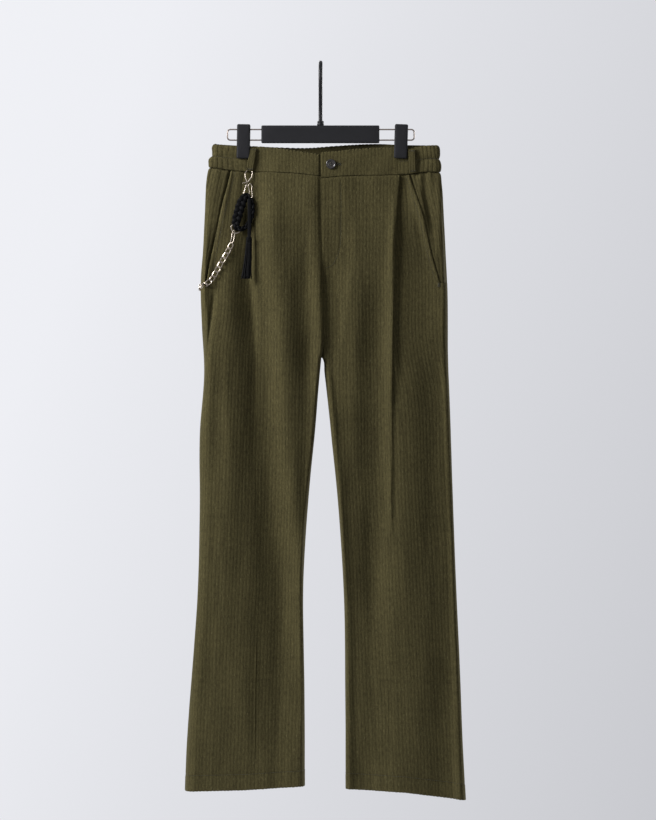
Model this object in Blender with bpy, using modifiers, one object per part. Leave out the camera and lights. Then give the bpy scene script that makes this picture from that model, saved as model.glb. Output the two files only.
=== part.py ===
# Corduroy trousers hanging by the waistband from a clip hanger.
# Metres, +Z up. Origin: the inside top of the hook. The front faces -Y, and
# the wearer's left is +X. Run with: blender --background --python part.py
#
# Every cloth panel is made the same way. At each level a section line is
# computed from the tables below, the cloth's own width is measured along it
# from the pleat line, and the raised wales stand at a constant pitch of that
# width, so they run off at the seams as woven cloth does.

import math

import bmesh
import bpy
import numpy as np

MM = 0.001

# Cloth
WALL = 1.2 * MM               # ground cloth, between the wales
BAND_WALL = 2.2 * MM          # the waistband is double
WALE_PITCH = 5.5 * MM
WALE_HEIGHT = 0.9 * MM
SEAM_GAP = 0.3 * MM           # between pieces that are sewn edge to edge
LAYER_GAP = 0.6 * MM          # between pieces that lie on each other

# Levels, all as z at the middle of the garment before it sags or tilts
BAND_TOP = -134 * MM
WAIST_SEAM = -174 * MM
FORK = -469 * MM
HEM = -1163 * MM
POCKET_END = -350 * MM

# Clip hanger
HOOK_WIRE = 6.4 * MM
CROWN_RADIUS = 16.5 * MM      # inside of the hook
BAR_SIZE = (189 * MM, 12 * MM, 28.3 * MM)
BAR_TOP = -97.6 * MM
SLIDE_WIRE = 2.3 * MM
SLIDE_LEVELS = (-104 * MM, -121 * MM)
SLIDE_ENDS = {"right": -148.8 * MM, "left": 149.8 * MM}
JAW_SIZE = (19.8 * MM, 5 * MM, 55 * MM)
JAW_FACE = 3.5 * MM           # inner face of a jaw, from the middle plane
JAW_TOP = -95.7 * MM
CLIPS = {"right": (-124.2 * MM, 1.0), "left": (129.4 * MM, 1.8)}   # x, tilt in degrees

# Waistband
JOIN = {"right": 119 * MM, "left": 124 * MM}   # where the flat band meets the elastic
UNDERLAP = 26 * MM            # the right band under the left one
GATHER_PITCH = 13 * MM
GATHER_DEPTH = 0.9 * MM
LOOP_WIDTH = 10.4 * MM
LOOP_WALL = 1.8 * MM
BUTTON_RADIUS = 8 * MM
BUTTON_PLACE = (14.9 * MM, -159.5 * MM)

# Pleat: turning radii of the visible edge and of the hidden one
EDGE_TURN = 1.5 * MM
BACK_TURN = 0.8 * MM


def table(columns, rows, unit=MM):
    """Named columns of a short table, in metres."""
    values = np.array(rows, dtype=float) * unit
    return {name: values[:, i] for i, name in enumerate(columns.split())}


# Half widths of each side, outwards from the centre plane: side seam and inseam
SIDE = {
    "left": table("level seam", [
        (-134, 189), (-174, 191.5), (-242, 196), (-300, 199), (-358, 202), (-473, 204),
        (-550, 207), (-703, 212), (-857, 218), (-934, 221.6), (-1087, 228), (-1176, 233)]),
    "right": table("level seam", [
        (-134, 172), (-174, 181), (-242, 185), (-300, 188), (-338, 191), (-415, 189.6),
        (-492, 186), (-588, 192.8), (-703, 193), (-857, 197), (-934, 202.4), (-1087, 213.6),
        (-1176, 217)]),
}
INSEAM = {
    "left": table("level seam", [
        (-469, 1.6), (-476, 4), (-511, 8.8), (-588, 16.8), (-665, 24.8), (-741, 31),
        (-857, 37.6), (-1010, 39.5), (-1176, 41)]),
    "right": table("level seam", [
        (-469, -1.6), (-476, 0.2), (-511, 2.4), (-588, 8.8), (-665, 16.8), (-741, 23),
        (-818, 27), (-1010, 25.5), (-1176, 25)]),
}
# Centre seams: x of the front one, which swings over to the left, and of the back one
CENTRE = table("level front back", [
    (-134, 0, 0), (-174, 0, 0), (-265, 1.6, 0), (-329, 4, 0.5), (-377, 5.6, 1), (-425, 6, 1.4),
    (-455, 4.4, 1.6), (-469, 1.6, 1.6)])
# How deep the tube stands in front of and behind the middle plane, the radii
# of its edges, and how far the clips' pinch reaches (1 is all of it)
DEPTH = table("level front back side inner", [
    (-134, 13, 15, 22, 40), (-174, 15, 17, 24, 40), (-240, 20, 26, 32, 40),
    (-330, 25, 33, 40, 40), (-469, 29, 34, 44, 42), (-600, 29, 30, 46, 46),
    (-800, 26, 26, 48, 48), (-1000, 27, 27, 50, 50), (-1176, 30, 30, 52, 52)])
PINCH_LEAVES = (2.9 * MM, 12 * MM, 34 * MM)     # depth at a clip, flat half width, reach

# The pleat's visible edge, outwards from the centre plane
PLEAT_EDGE = {
    "left": table("level edge", [
        (-174, 126.5), (-218, 122), (-260, 119.5), (-330, 117), (-470, 115), (-640, 114),
        (-780, 111), (-1176, 106)]),
    "right": table("level edge", [
        (-174, 109), (-260, 106), (-330, 104), (-470, 103), (-640, 102), (-780, 101),
        (-1176, 104)]),
}
# The pleat's turn in degrees and the width of its hidden layer: a full fold
# at the waist that opens into a crease by the thigh
PLEAT_TURN = table("level turn", [
    (-174, 176), (-300, 172), (-380, 150), (-473, 90), (-560, 45), (-700, 18), (-850, 0),
    (-1176, 0)], 1)
PLEAT_TURN["level"] = PLEAT_TURN["level"] * MM
PLEAT_LAYER = table("level width", [
    (-174, 14), (-300, 6), (-380, 2.5), (-473, 2), (-560, 4), (-700, 6), (-1176, 8)])

# Slanted pocket mouths, outwards from the centre plane
MOUTH = {
    "left": table("level edge", [
        (-174, 136), (-214, 141), (-229, 152), (-262, 166.5), (-295, 176.8), (-330, 186),
        (-350, 190.5)]),
    "right": table("level edge", [
        (-174, 146), (-206, 153.6), (-225, 159), (-253, 165.6), (-281, 171.5), (-310, 177),
        (-350, 182.5)]),
}
MOUTH_UNDERLAP = 13 * MM
MOUTH_GAP = 1.5 * MM          # a pocket stands a little open

# Soft folds: where each starts and ends, its place outwards from the centre
# plane at both, its height out of the cloth (or into it) and its half width
FOLD_COLUMNS = "top bottom start end height width"
FOLDS = {
    ("left", "front"): table(FOLD_COLUMNS, [
        (-250, -620, 66, 62, -3.5, 17), (-420, -760, 88, 92, 2.5, 14),
        (-240, -430, 26, 30, 2.0, 16), (-200, -700, 148, 158, -3.0, 14),
        (-210, -420, 172, 176, 2.5, 10), (-820, -1176, 196, 205, 3.0, 18),
        (-900, -1176, 150, 152, -3.0, 16)]),
    ("right", "front"): table(FOLD_COLUMNS, [
        (-420, -900, 56, 36, 4.0, 14), (-240, -420, 46, 42, -3.5, 14),
        (-430, -640, 32, 40, -2.5, 10), (-240, -420, 84, 82, 2.0, 16),
        (-430, -900, 112, 90, -3.5, 12), (-380, -640, 150, 152, 2.0, 18)]),
    ("left", "back"): table(FOLD_COLUMNS, [
        (-250, -640, 60, 66, -3.0, 18), (-400, -900, 108, 112, 4.0, 16),
        (-820, -1176, 180, 190, -3.0, 18)]),
    ("right", "back"): table(FOLD_COLUMNS, [
        (-240, -560, 70, 60, -3.0, 16), (-400, -900, 104, 100, 4.0, 16),
        (-800, -1176, 160, 170, -3.0, 18)]),
}
FOLD_FADE = 90 * MM

# How the garment hangs: z of the waist seam and of the band's top edge, by x
SEAM_LINE = {
    "left": table("x z", [(-30, -179), (0, -181.5), (31, -179), (127, -176.5), (177, -173),
                          (193, -172.5)]),
    "right": table("x z", [(-181, -165), (-143, -169.5), (-119, -171.5), (-73, -172.5),
                           (-33, -174.8), (-4, -178), (30, -179)]),
    "back": table("x z", [(-181, -165), (-100, -169), (0, -171), (100, -170), (193, -172.5)]),
}
TOP_LINE = {
    "left": table("x z", [(-4, -140.5), (24, -139.2), (47, -136.5), (90, -133.8), (124, -133)]),
    "right": table("x z", [(-119, -130.5), (-73, -133.5), (-49, -137), (-17, -140.5),
                           (-4, -143), (30, -144)]),
    "back": table("x z", [(-181, -126.4), (-119, -130.5), (-73, -132.5), (-17, -134),
                          (22, -130.7), (98, -127.7), (124, -128.5), (193, -129.4)]),
}
HEM_LINE = table("x z", [(-217, -1161), (-122, -1159), (-25, -1153), (41, -1157.5),
                         (136, -1163), (233, -1176)])
SEAM_FADE = 150 * MM
HEM_FADE = 260 * MM

# The clip-on chain, in millimetres: x and z in front of the right leg, and for
# the chain itself the distance from the side seam and the level. The clasp's
# third column is how far it stands off the cloth: it passes under the loop.
CLASP = [(-120.4, -172.6, 3.2), (-120.6, -179, 4.4), (-118.6, -185, 5), (-116.6, -188.5, 5.4),
         (-113.2, -184.5, 5), (-109.8, -179.5, 4.6), (-108.6, -174.5, 4), (-108.6, -172.6, 3.2),
         (-108.9, -170.8, 1.5), (-111.5, -168, 1.5), (-115.5, -168, 1.5), (-119, -170.6, 1.7)]
CLASP_WIRE = 1.6 * MM
SWIVEL = [(-117.4, -191.0), (-119.4, -196), (-121.6, -203), (-123.6, -210)]
TASSEL_RING = [(-114.6, -192.5), (-113.8, -203), (-112.8, -213), (-109.8, -213), (-110, -203),
               (-110.8, -192.5), (-112.6, -190.6)]
FOB = [(-121.5, -218, 9), (-126, -228, 12), (-131, -240, 14), (-135, -252, 14),
       (-136, -261, 11), (-128, -266, 8), (-117, -262, 8), (-108, -252, 9),
       (-106, -240, 10), (-109, -229, 10), (-114.5, -219.5, 9)]
FOB_RING = [(-135, -268.6), (-132.5, -273.5), (-135.5, -279), (-141, -279.5), (-143.5, -274.5),
            (-140.5, -269.4)]
TASSEL = [(-113.6, -216, 5.8, 2.4), (-113.4, -246, 5.8, 2.4), (-113.6, -276, 5.8, 2.6),
          (-113.8, -281, 9, 5), (-114.6, -296, 10.5, 6), (-116, -320, 13, 7),
          (-117.6, -343, 16, 8)]
CHAIN_FRONT = [(57, -287), (50, -300), (41, -318), (30, -337), (20, -351), (10, -361)]
CHAIN_BACK = [(1, -367), (12, -370), (26, -367), (45, -350), (65, -320), (83, -284),
              (95, -245), (101, -212), (102, -186)]
CHAIN_WIDTH = 6 * MM
CHAIN_STAND = 5.4 * MM
PLEAT_LIFT = 2.6 * MM

FRONT_LEVELS = [z * MM for z in (
    -174, -200, -232, -266, -300, -328, -350, -420, -455, -469, -520, -640, -820, -1000,
    -1163)]
BACK_LEVELS = [z * MM for z in (
    -174, -240, -330, -420, -455, -469, -520, -640, -820, -1000, -1163)]
INNER_EVERY = 4               # the plain inside has a column for every fourth outside
COLLECTION = "corduroy_trousers"


# ---------------------------------------------------------------- the shape

def smooth(xs, ys, x):
    """A curve through the points (xs, ys), held level beyond both ends."""
    order = np.argsort(xs)
    xs, ys = xs[order], ys[order]
    slopes = np.gradient(ys, xs)
    x = np.clip(x, xs[0], xs[-1])
    i = np.clip(np.searchsorted(xs, x) - 1, 0, len(xs) - 2)
    step = xs[i + 1] - xs[i]
    t = (x - xs[i]) / step
    rise = 3 * t ** 2 - 2 * t ** 3
    return (ys[i] * (1 - rise) + ys[i + 1] * rise
            + step * (slopes[i] * (t - 2 * t ** 2 + t ** 3) + slopes[i + 1] * (t ** 3 - t ** 2)))


def ease(t):
    """0 to 1, level at both ends."""
    t = np.clip(t, 0.0, 1.0)
    return t * t * (3 - 2 * t)


def sign_of(side):
    return 1.0 if side == "left" else -1.0


def pinch(x, level):
    """How much of the tube's depth the clips take away at x."""
    _, flat, reach = PINCH_LEAVES
    near = max(math.exp(-(max(abs(x - clip[0]) - flat, 0.0) / reach) ** 2)
               for clip in CLIPS.values())
    return near * (1 - float(ease((-150 * MM - level) / (130 * MM))))


def inner_edge(side, face, level):
    """Centre seam above the fork and inseam below, outwards from the centre plane."""
    if level >= FORK:
        return sign_of(side) * float(smooth(CENTRE["level"], CENTRE[face], level))
    return float(smooth(INSEAM[side]["level"], INSEAM[side]["seam"], level))


def centre_open(level):
    """1 where the centre seam lies flat in front, 0 where it has curved under to the fork."""
    return math.sqrt(max(1 - float(np.clip((-385 * MM - level) / (84 * MM), 0, 1)) ** 2, 0.0))


def base_line(side, face, level):
    """A half section from the inner edge to the side seam: places out, and y."""
    row = {name: float(smooth(DEPTH["level"], DEPTH[name], level))
           for name in ("front", "back", "side", "inner")}
    outer = float(smooth(SIDE[side]["level"], SIDE[side]["seam"], level))
    inner = inner_edge(side, face, level) + SEAM_GAP / 2
    turn = 1 - np.cos(np.linspace(0, math.pi / 2, 19))
    out = np.concatenate([
        inner + row["inner"] * turn,
        np.linspace(inner + row["inner"], outer - row["side"], 60)[1:-1],
        outer - row["side"] * turn[::-1]])
    side_round = np.sqrt(1 - (1 - np.clip((outer - out) / row["side"], 0, 1)) ** 2)
    inner_round = np.sqrt(1 - (1 - np.clip((out - inner) / row["inner"], 0, 1)) ** 2)
    flat = centre_open(level)
    inner_round = flat + (1 - flat) * inner_round
    depth = np.full(len(out), row[face])
    for i, place in enumerate(out):
        taken = pinch(sign_of(side) * place, level)
        depth[i] += (PINCH_LEAVES[0] - row[face]) * taken
    y = depth * side_round * inner_round
    folds = FOLDS[side, face]
    for k in range(len(folds["top"])):
        top, bottom = folds["top"][k], folds["bottom"][k]
        share = (top - level) / (top - bottom)
        place = folds["start"][k] + (folds["end"][k] - folds["start"][k]) * np.clip(share, 0, 1)
        strength = float(ease((top + FOLD_FADE / 2 - level) / FOLD_FADE)
                         * ease((level - bottom + FOLD_FADE / 2) / FOLD_FADE))
        if bottom < HEM:
            strength = float(ease((top + FOLD_FADE / 2 - level) / FOLD_FADE))
        bump = np.exp(-((out - place) / folds["width"][k]) ** 2)
        y = y + folds["height"][k] * strength * bump * side_round * inner_round
    return out, (-y if face == "front" else y)


def pleat_line(side, level):
    """The front half section with its pleat: points, and where the pleat starts and ends."""
    out, y = base_line(side, "front", level)
    edge = float(smooth(PLEAT_EDGE[side]["level"], PLEAT_EDGE[side]["edge"], level))
    turn = math.radians(max(float(smooth(PLEAT_TURN["level"], PLEAT_TURN["turn"], level)), 0.5))
    layer = float(smooth(PLEAT_LAYER["level"], PLEAT_LAYER["width"], level))
    steps = []
    heading, place = 0.0, np.zeros(2)
    for length, bend, count in ((EDGE_TURN * turn, turn, 12), (layer, 0.0, 4),
                                (BACK_TURN * turn, -turn, 12)):
        for _ in range(count):
            heading += bend / count / 2
            place = place + length / count * np.array([math.cos(heading), math.sin(heading)])
            heading += bend / count / 2
            steps.append(place)
    steps = np.array(steps)
    across, back = steps[-1]
    first = edge - EDGE_TURN * math.sin(min(turn, math.pi / 2))
    last = first + across
    lift, sink = 0.3 * back, 0.7 * back
    before = out < first - 0.2 * MM
    after = out > last + 0.2 * MM
    near_in = np.exp(-((first - out[before]) / (32 * MM)) ** 2)
    near_out = np.exp(-((out[after] - last) / (30 * MM)) ** 2)
    y_first = float(np.interp(first, out, y)) - lift
    y_last = float(np.interp(last, out, y)) + sink
    fold_y = y_first + steps[:, 1]
    fold_y = fold_y + (y_last - fold_y[-1]) * np.linspace(0, 1, len(steps))
    line = np.vstack([
        np.column_stack([out[before], y[before] - lift * near_in]),
        [[first, y_first]],
        np.column_stack([first + steps[:, 0], fold_y]),
        np.column_stack([out[after], y[after] + sink * near_out])])
    start = int(before.sum())
    return line, start, start + len(steps), (EDGE_TURN * turn, layer, BACK_TURN * turn)


class Section:
    """One half section as a line that can be read by the cloth's own width."""

    def __init__(self, side, face, level):
        self.side, self.face, self.level = side, face, level
        if face == "front":
            line, start, end, self.fold = pleat_line(side, level)
        else:
            line = np.column_stack(base_line(side, face, level))
            start = end = int(np.argmin(np.abs(line[:, 0] - 104 * MM)))
            self.fold = (0.0, 0.0, 0.0)
        self.line = line
        steps = np.hypot(*np.diff(line, axis=0).T)
        width = np.concatenate([[0.0], np.cumsum(steps)])
        self.width = width - width[start]
        self.fold_end = self.width[end]
        tangent = np.gradient(line, self.width, axis=0)
        tangent /= np.hypot(tangent[:, 0], tangent[:, 1])[:, None]
        turned = np.column_stack([tangent[:, 1], -tangent[:, 0]])
        self.normal = turned if face == "front" else -turned

    def width_at(self, place):
        """The cloth's width where the outer stretch passes a place out from the centre."""
        outer = self.width >= self.fold_end
        return float(np.interp(place, self.line[outer, 0], self.width[outer]))

    def point(self, width, offset, forward=0.0):
        """Points at widths along the cloth, moved out of it by an offset, and forward."""
        out = np.interp(width, self.width, self.line[:, 0])
        y = np.interp(width, self.width, self.line[:, 1])
        normal_out = np.interp(width, self.width, self.normal[:, 0])
        normal_y = np.interp(width, self.width, self.normal[:, 1])
        out, y = out + normal_out * offset, y + normal_y * offset - forward
        x = sign_of(self.side) * out
        return np.column_stack([x, y, hang(self.side, self.face, x, self.level)])


def hang(side, face, x, level):
    """The z of a level at x, once the garment sags from its clips and its hems tilt."""
    line = SEAM_LINE["back" if face == "back" else side]
    sag = smooth(line["x"], line["z"], x) - WAIST_SEAM
    tilt = np.interp(x, HEM_LINE["x"], HEM_LINE["z"]) - HEM
    near_waist = 1 - ease((WAIST_SEAM - level) / SEAM_FADE)
    near_hem = 1 - ease((level - HEM) / HEM_FADE)
    ends = 1 - ease((np.abs(x) - 150 * MM) / (45 * MM)) if face == "front" else 1.0
    back = SEAM_LINE["back"]
    shared = smooth(back["x"], back["z"], x) - WAIST_SEAM
    return level + (sag * ends + shared * (1 - ends)) * near_waist + tilt * near_hem


# ---------------------------------------------------------------- solids

def material(name, colour, roughness, metallic=0.0):
    found = bpy.data.materials.get(name)
    if found:
        return found
    made = bpy.data.materials.new(name)
    made.use_nodes = True
    made.diffuse_color = (*colour, 1)
    shader = made.node_tree.nodes["Principled BSDF"]
    shader.inputs["Base Color"].default_value = (*colour, 1)
    shader.inputs["Roughness"].default_value = roughness
    shader.inputs["Metallic"].default_value = metallic
    return made


def add_object(name, mesh, finish):
    made = bpy.data.objects.new(name, mesh)
    made.data.materials.append(finish)
    bpy.data.collections[COLLECTION].objects.link(made)
    return made


def mesh_from(name, points, faces):
    """One closed mesh: points that fall together are merged, and faces turned out."""
    mesh = bpy.data.meshes.new(name)
    mesh.from_pydata([tuple(p) for p in points], [], faces)
    work = bmesh.new()
    work.from_mesh(mesh)
    bmesh.ops.remove_doubles(work, verts=work.verts, dist=0.00001)
    bmesh.ops.triangulate(work, faces=work.faces)
    bmesh.ops.recalc_face_normals(work, faces=work.faces)
    work.to_mesh(mesh)
    work.free()
    mesh.update()
    return mesh


def zip_rims(first, second, at_first, at_second):
    """Triangles between two runs of points, each advanced by its place along the rim."""
    faces, i, j = [], 0, 0
    while i < len(first) - 1 or j < len(second) - 1:
        go_first = j == len(second) - 1 or (
            i < len(first) - 1 and at_first[i + 1] <= at_second[j + 1])
        if go_first:
            faces.append((first[i], first[i + 1], second[j]))
            i += 1
        else:
            faces.append((first[i], second[j + 1], second[j]))
            j += 1
    return faces


def thick_sheet(name, outer_rows, inner_rows, notch=None):
    """A closed solid between two grids of points that share their rows.

    Each row is (points, places along the row); the two grids may have
    different numbers of columns. A notch (row, outer column, inner column)
    leaves out the cells above that row and beyond that column.
    """
    rows = len(outer_rows)
    grids, sizes = [], [len(outer_rows[0][0]), len(inner_rows[0][0])]
    points = np.vstack([r[0] for r in outer_rows] + [r[0] for r in inner_rows])
    grids.append(np.arange(rows * sizes[0]).reshape(rows, sizes[0]))
    grids.append(rows * sizes[0] + np.arange(rows * sizes[1]).reshape(rows, sizes[1]))
    step, ends = (notch[0], notch[1:]) if notch else (0, [size - 1 for size in sizes])
    faces = []
    for grid, end, flip in zip(grids, ends, (False, True)):
        for r in range(rows - 1):
            for c in range(grid.shape[1] - 1 if r >= step else end):
                quad = (grid[r, c], grid[r, c + 1], grid[r + 1, c + 1], grid[r + 1, c])
                faces.append(quad[::-1] if flip else quad)
    outer, inner = grids
    for r in range(rows - 1):
        a, b = (ends if r < step else (-1, -1))
        faces.append((outer[r + 1, 0], inner[r + 1, 0], inner[r, 0], outer[r, 0]))
        faces.append((outer[r, a], inner[r, a if a == b else b], inner[r + 1, b],
                      outer[r + 1, a]))
    runs = [(0, 0, ends[0], 0, ends[1], True),
            (rows - 1, 0, sizes[0] - 1, 0, sizes[1] - 1, False)]
    if notch:
        runs.append((step, ends[0], sizes[0] - 1, ends[1], sizes[1] - 1, True))
    for row, a, b, c, d, flip in runs:
        joined = zip_rims(outer[row, a:b + 1], inner[row, c:d + 1],
                          outer_rows[row][1][a:b + 1], inner_rows[row][1][c:d + 1])
        faces += [f[::-1] for f in joined] if flip else joined
    return mesh_from(name, points, [tuple(int(v) for v in f) for f in faces])


# ---------------------------------------------------------------- cloth panels

def clamp(widths, low, high):
    """Columns beyond an edge are drawn in to it, with those a hair inside it."""
    snap = 0.9 * MM
    held = np.clip(widths, low, high)
    held[held < low + snap] = low
    held[held > high - snap] = high
    return held


def wale_height(section, widths, low, high):
    """Raised at every second column, and level at edges, seams and in the pleat."""
    crest = np.abs(np.round(widths / (WALE_PITCH / 2)).astype(int)) % 2
    from_edge = np.minimum(widths - low, high - widths)
    from_centre = np.interp(widths, section.width, section.line[:, 0]) - section.line[0, 0]
    height = WALE_HEIGHT * crest * ease((from_edge - 0.5 * MM) / (3 * MM))
    height = height * ease(from_centre / (4 * MM))
    hidden = (widths > -0.8 * MM) & (widths < section.fold_end + 3 * MM)
    return np.where(hidden, 0.0, height)


def panel_limits(section):
    """The cloth widths between which a panel is cut at this level."""
    low = section.width[0] + SEAM_GAP / 2
    high = section.width[-1] - SEAM_GAP / 2
    if section.face == "front" and section.level > POCKET_END:
        edge = float(smooth(MOUTH[section.side]["level"], MOUTH[section.side]["edge"],
                            section.level))
        high = min(high, section.width_at(edge))
    return low, high


def fly_lift(section, widths, low):
    """The left front lies over the right one along the fly."""
    if section.face == "back":
        return np.zeros(len(widths))
    reach = np.exp(-(widths - low) / (9 * MM)) * ease((section.level - FORK) / (70 * MM))
    return reach * (0.9 * MM if section.side == "left" else -0.9 * MM)


def fold_columns(fold):
    """Columns that follow the pleat: round its edge, across it and round its back."""
    edge, layer, back = fold
    return np.concatenate([np.linspace(0, edge, 5), edge + layer * np.array([0.5, 1.0]),
                           edge + layer + back * np.array([0.33, 0.67, 1.0])])


def panel(side, face, finish):
    """A leg panel from the waist seam to the hem, its front cut away at the pocket mouth."""
    levels = FRONT_LEVELS if face == "front" else BACK_LEVELS
    sections = [Section(side, face, level) for level in levels]
    limits = [panel_limits(s) for s in sections]
    half = WALE_PITCH / 2
    spacing = {"outer": 1, "inner": INNER_EVERY}
    lows, highs = {}, {}
    for grid, every in spacing.items():
        count = int(max(-low for low, _ in limits) / half / every) + 1
        lows[grid] = -np.arange(count, 0, -1) * half * every
        count = int(max(high for _, high in limits) / half / every) + 1
        highs[grid] = np.arange(1, count + 1) * half * every
    notch = None
    if face == "front":
        step = levels.index(POCKET_END)
        edge = MOUTH[side]["edge"][-1]
        mouth_end = sections[step].width_at(edge)
        folded = len(fold_columns(sections[0].fold))
        ends = {grid: int(np.argmin(np.abs(highs[grid] - mouth_end))) for grid in spacing}
        notch = (step,) + tuple(len(lows[grid]) + folded + ends[grid] for grid in spacing)
    grids = {"outer": [], "inner": []}
    for section, (low, high) in zip(sections, limits):
        fold = fold_columns(section.fold) if face == "front" else np.zeros(1)
        for grid, rows in grids.items():
            left = clamp(lows[grid], low, 0.0)
            right = clamp(highs[grid], section.fold_end, high)
            left[0], right[-1] = low, high
            if face == "front" and section.level > POCKET_END:
                right[ends[grid]] = high
            if face == "front" and section.level == POCKET_END:
                right[ends[grid]] = mouth_end
            widths = np.concatenate([left, fold, right])
            offset = wale_height(section, widths, low, high)
            if grid == "inner":
                offset = np.full(len(widths), -WALL)
            rows.append((section.point(widths, offset, fly_lift(section, widths, low)), widths))
    name = face + "_" + side
    return add_object(name, thick_sheet(name, grids["outer"], grids["inner"], notch), finish)


def pocket_facing(side, finish):
    """The hip corner behind a slanted pocket mouth."""
    levels = [z for z in FRONT_LEVELS if z > POCKET_END] + [POCKET_END + LAYER_GAP]
    outer_rows, inner_rows = [], []
    half = WALE_PITCH / 2
    for level in levels:
        section = Section(side, "front", level)
        high = section.width[-1] - SEAM_GAP / 2
        edge = float(smooth(MOUTH[side]["level"], MOUTH[side]["edge"], level))
        low = min(section.width_at(edge), high) - MOUTH_UNDERLAP
        count = 30
        wales = high - np.arange(count, -1, -1) * half
        for rows, every, inside in ((outer_rows, 1, False), (inner_rows, 2, True)):
            widths = clamp(wales[::every], low, high)
            widths[0] = low
            visible = ease((widths - low - MOUTH_UNDERLAP) / (3 * MM))
            crest = (np.arange(len(widths)) % 2) * WALE_HEIGHT
            crest = crest * visible * ease((high - widths) / (3 * MM))
            offset = np.full(len(widths), -WALL) if inside else crest
            rows.append((section.point(widths, offset - WALL - MOUTH_GAP), widths))
    name = "pocket_facing_" + side
    return add_object(name, thick_sheet(name, outer_rows, inner_rows), finish)


# ---------------------------------------------------------------- waistband

def band_ring(level_share):
    """The band's whole ring at one height, as places, widths, outward normals and faces.

    It runs from the centre front round the wearer's left side, across the
    back and round the right side to the centre front again.
    """
    level = WAIST_SEAM + (BAND_TOP - WAIST_SEAM) * level_share
    stretches = []
    for side, face, backwards in (("left", "front", False), ("left", "back", True),
                                  ("right", "back", False), ("right", "front", True)):
        out, y = base_line(side, face, level)
        points = np.column_stack([sign_of(side) * out, y])
        stretches.append(points[::-1] if backwards else points)
    ring = np.vstack([stretches[0]] + [s[1:] for s in stretches[1:]])
    steps = np.hypot(*np.diff(ring, axis=0).T)
    ring = ring[np.concatenate([[True], steps > 1e-6])]
    width = np.concatenate([[0.0], np.cumsum(np.hypot(*np.diff(ring, axis=0).T))])
    tangent = np.gradient(ring, width, axis=0)
    tangent /= np.hypot(tangent[:, 0], tangent[:, 1])[:, None]
    return ring, width, np.column_stack([tangent[:, 1], -tangent[:, 0]])


def front_place(ring, width, x):
    """The width along the ring where its front passes x."""
    front = ring[:, 1] < 0
    later = width > width[-1] / 2
    use = front & (later if x < 0 else ~later)
    order = np.argsort(ring[use, 0])
    return float(np.interp(x, ring[use, 0][order], width[use][order]))


def band_height(x, y, level_share, side):
    """The z of a point of the band, between its seam and its top edge."""
    key = "back" if side == "back" else side
    seam, top = SEAM_LINE[key], TOP_LINE[key]
    low = smooth(seam["x"], seam["z"], x) + SEAM_GAP
    high = smooth(top["x"], top["z"], x)
    return low + (high - low) * level_share


def elastic_band(finish):
    """The gathered band: round both sides and the back, with a stitched channel."""
    shares = (0.0, 0.24, 0.5, 0.76, 1.0)
    swell = (0.2 * MM, 2.2 * MM, 0.2 * MM, 1.8 * MM, 0.6 * MM)
    ruffle = (0.4, 1.0, 0.5, 1.0, 0.8)
    gathers = 34
    outer_rows, inner_rows = [], []
    for share, out, amount in zip(shares, swell, ruffle):
        ring, width, normal = band_ring(share)
        low = front_place(ring, width, JOIN["left"]) + SEAM_GAP / 2
        high = front_place(ring, width, -JOIN["right"]) - SEAM_GAP / 2
        for rows, per_gather, inside in ((outer_rows, 3, False), (inner_rows, 1, True)):
            count = gathers * per_gather
            widths = np.linspace(low, high, count + 1)
            x = np.interp(widths, width, ring[:, 0])
            y = np.interp(widths, width, ring[:, 1])
            free = 1 - np.array([pinch(v, BAND_TOP) for v in x])
            wave = np.cos(2 * math.pi * np.arange(count + 1) / 3)
            offset = free * (out + GATHER_DEPTH * amount * wave)
            if inside:
                offset = np.full(count + 1, -BAND_WALL)
            turned = [np.interp(widths, width, normal[:, k]) for k in (0, 1)]
            points = np.column_stack([
                x + turned[0] * offset, y + turned[1] * offset,
                mixed_height(x, y, share)])
            rows.append((points, widths))
    outer_rows.reverse()
    inner_rows.reverse()
    name = "waistband_elastic"
    return add_object(name, thick_sheet(name, outer_rows, inner_rows), finish)


def mixed_height(x, y, share):
    """The back's height, blended into each front's by the time it meets the flat band."""
    back = band_height(x, y, share, "back")
    left = band_height(x, y, share, "left")
    right = band_height(x, y, share, "right")
    front = np.where(x > 0, left, right)
    near_join = ease((185 * MM - np.abs(x)) / (60 * MM)) * (y < 0)
    return back + (front - back) * near_join


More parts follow.
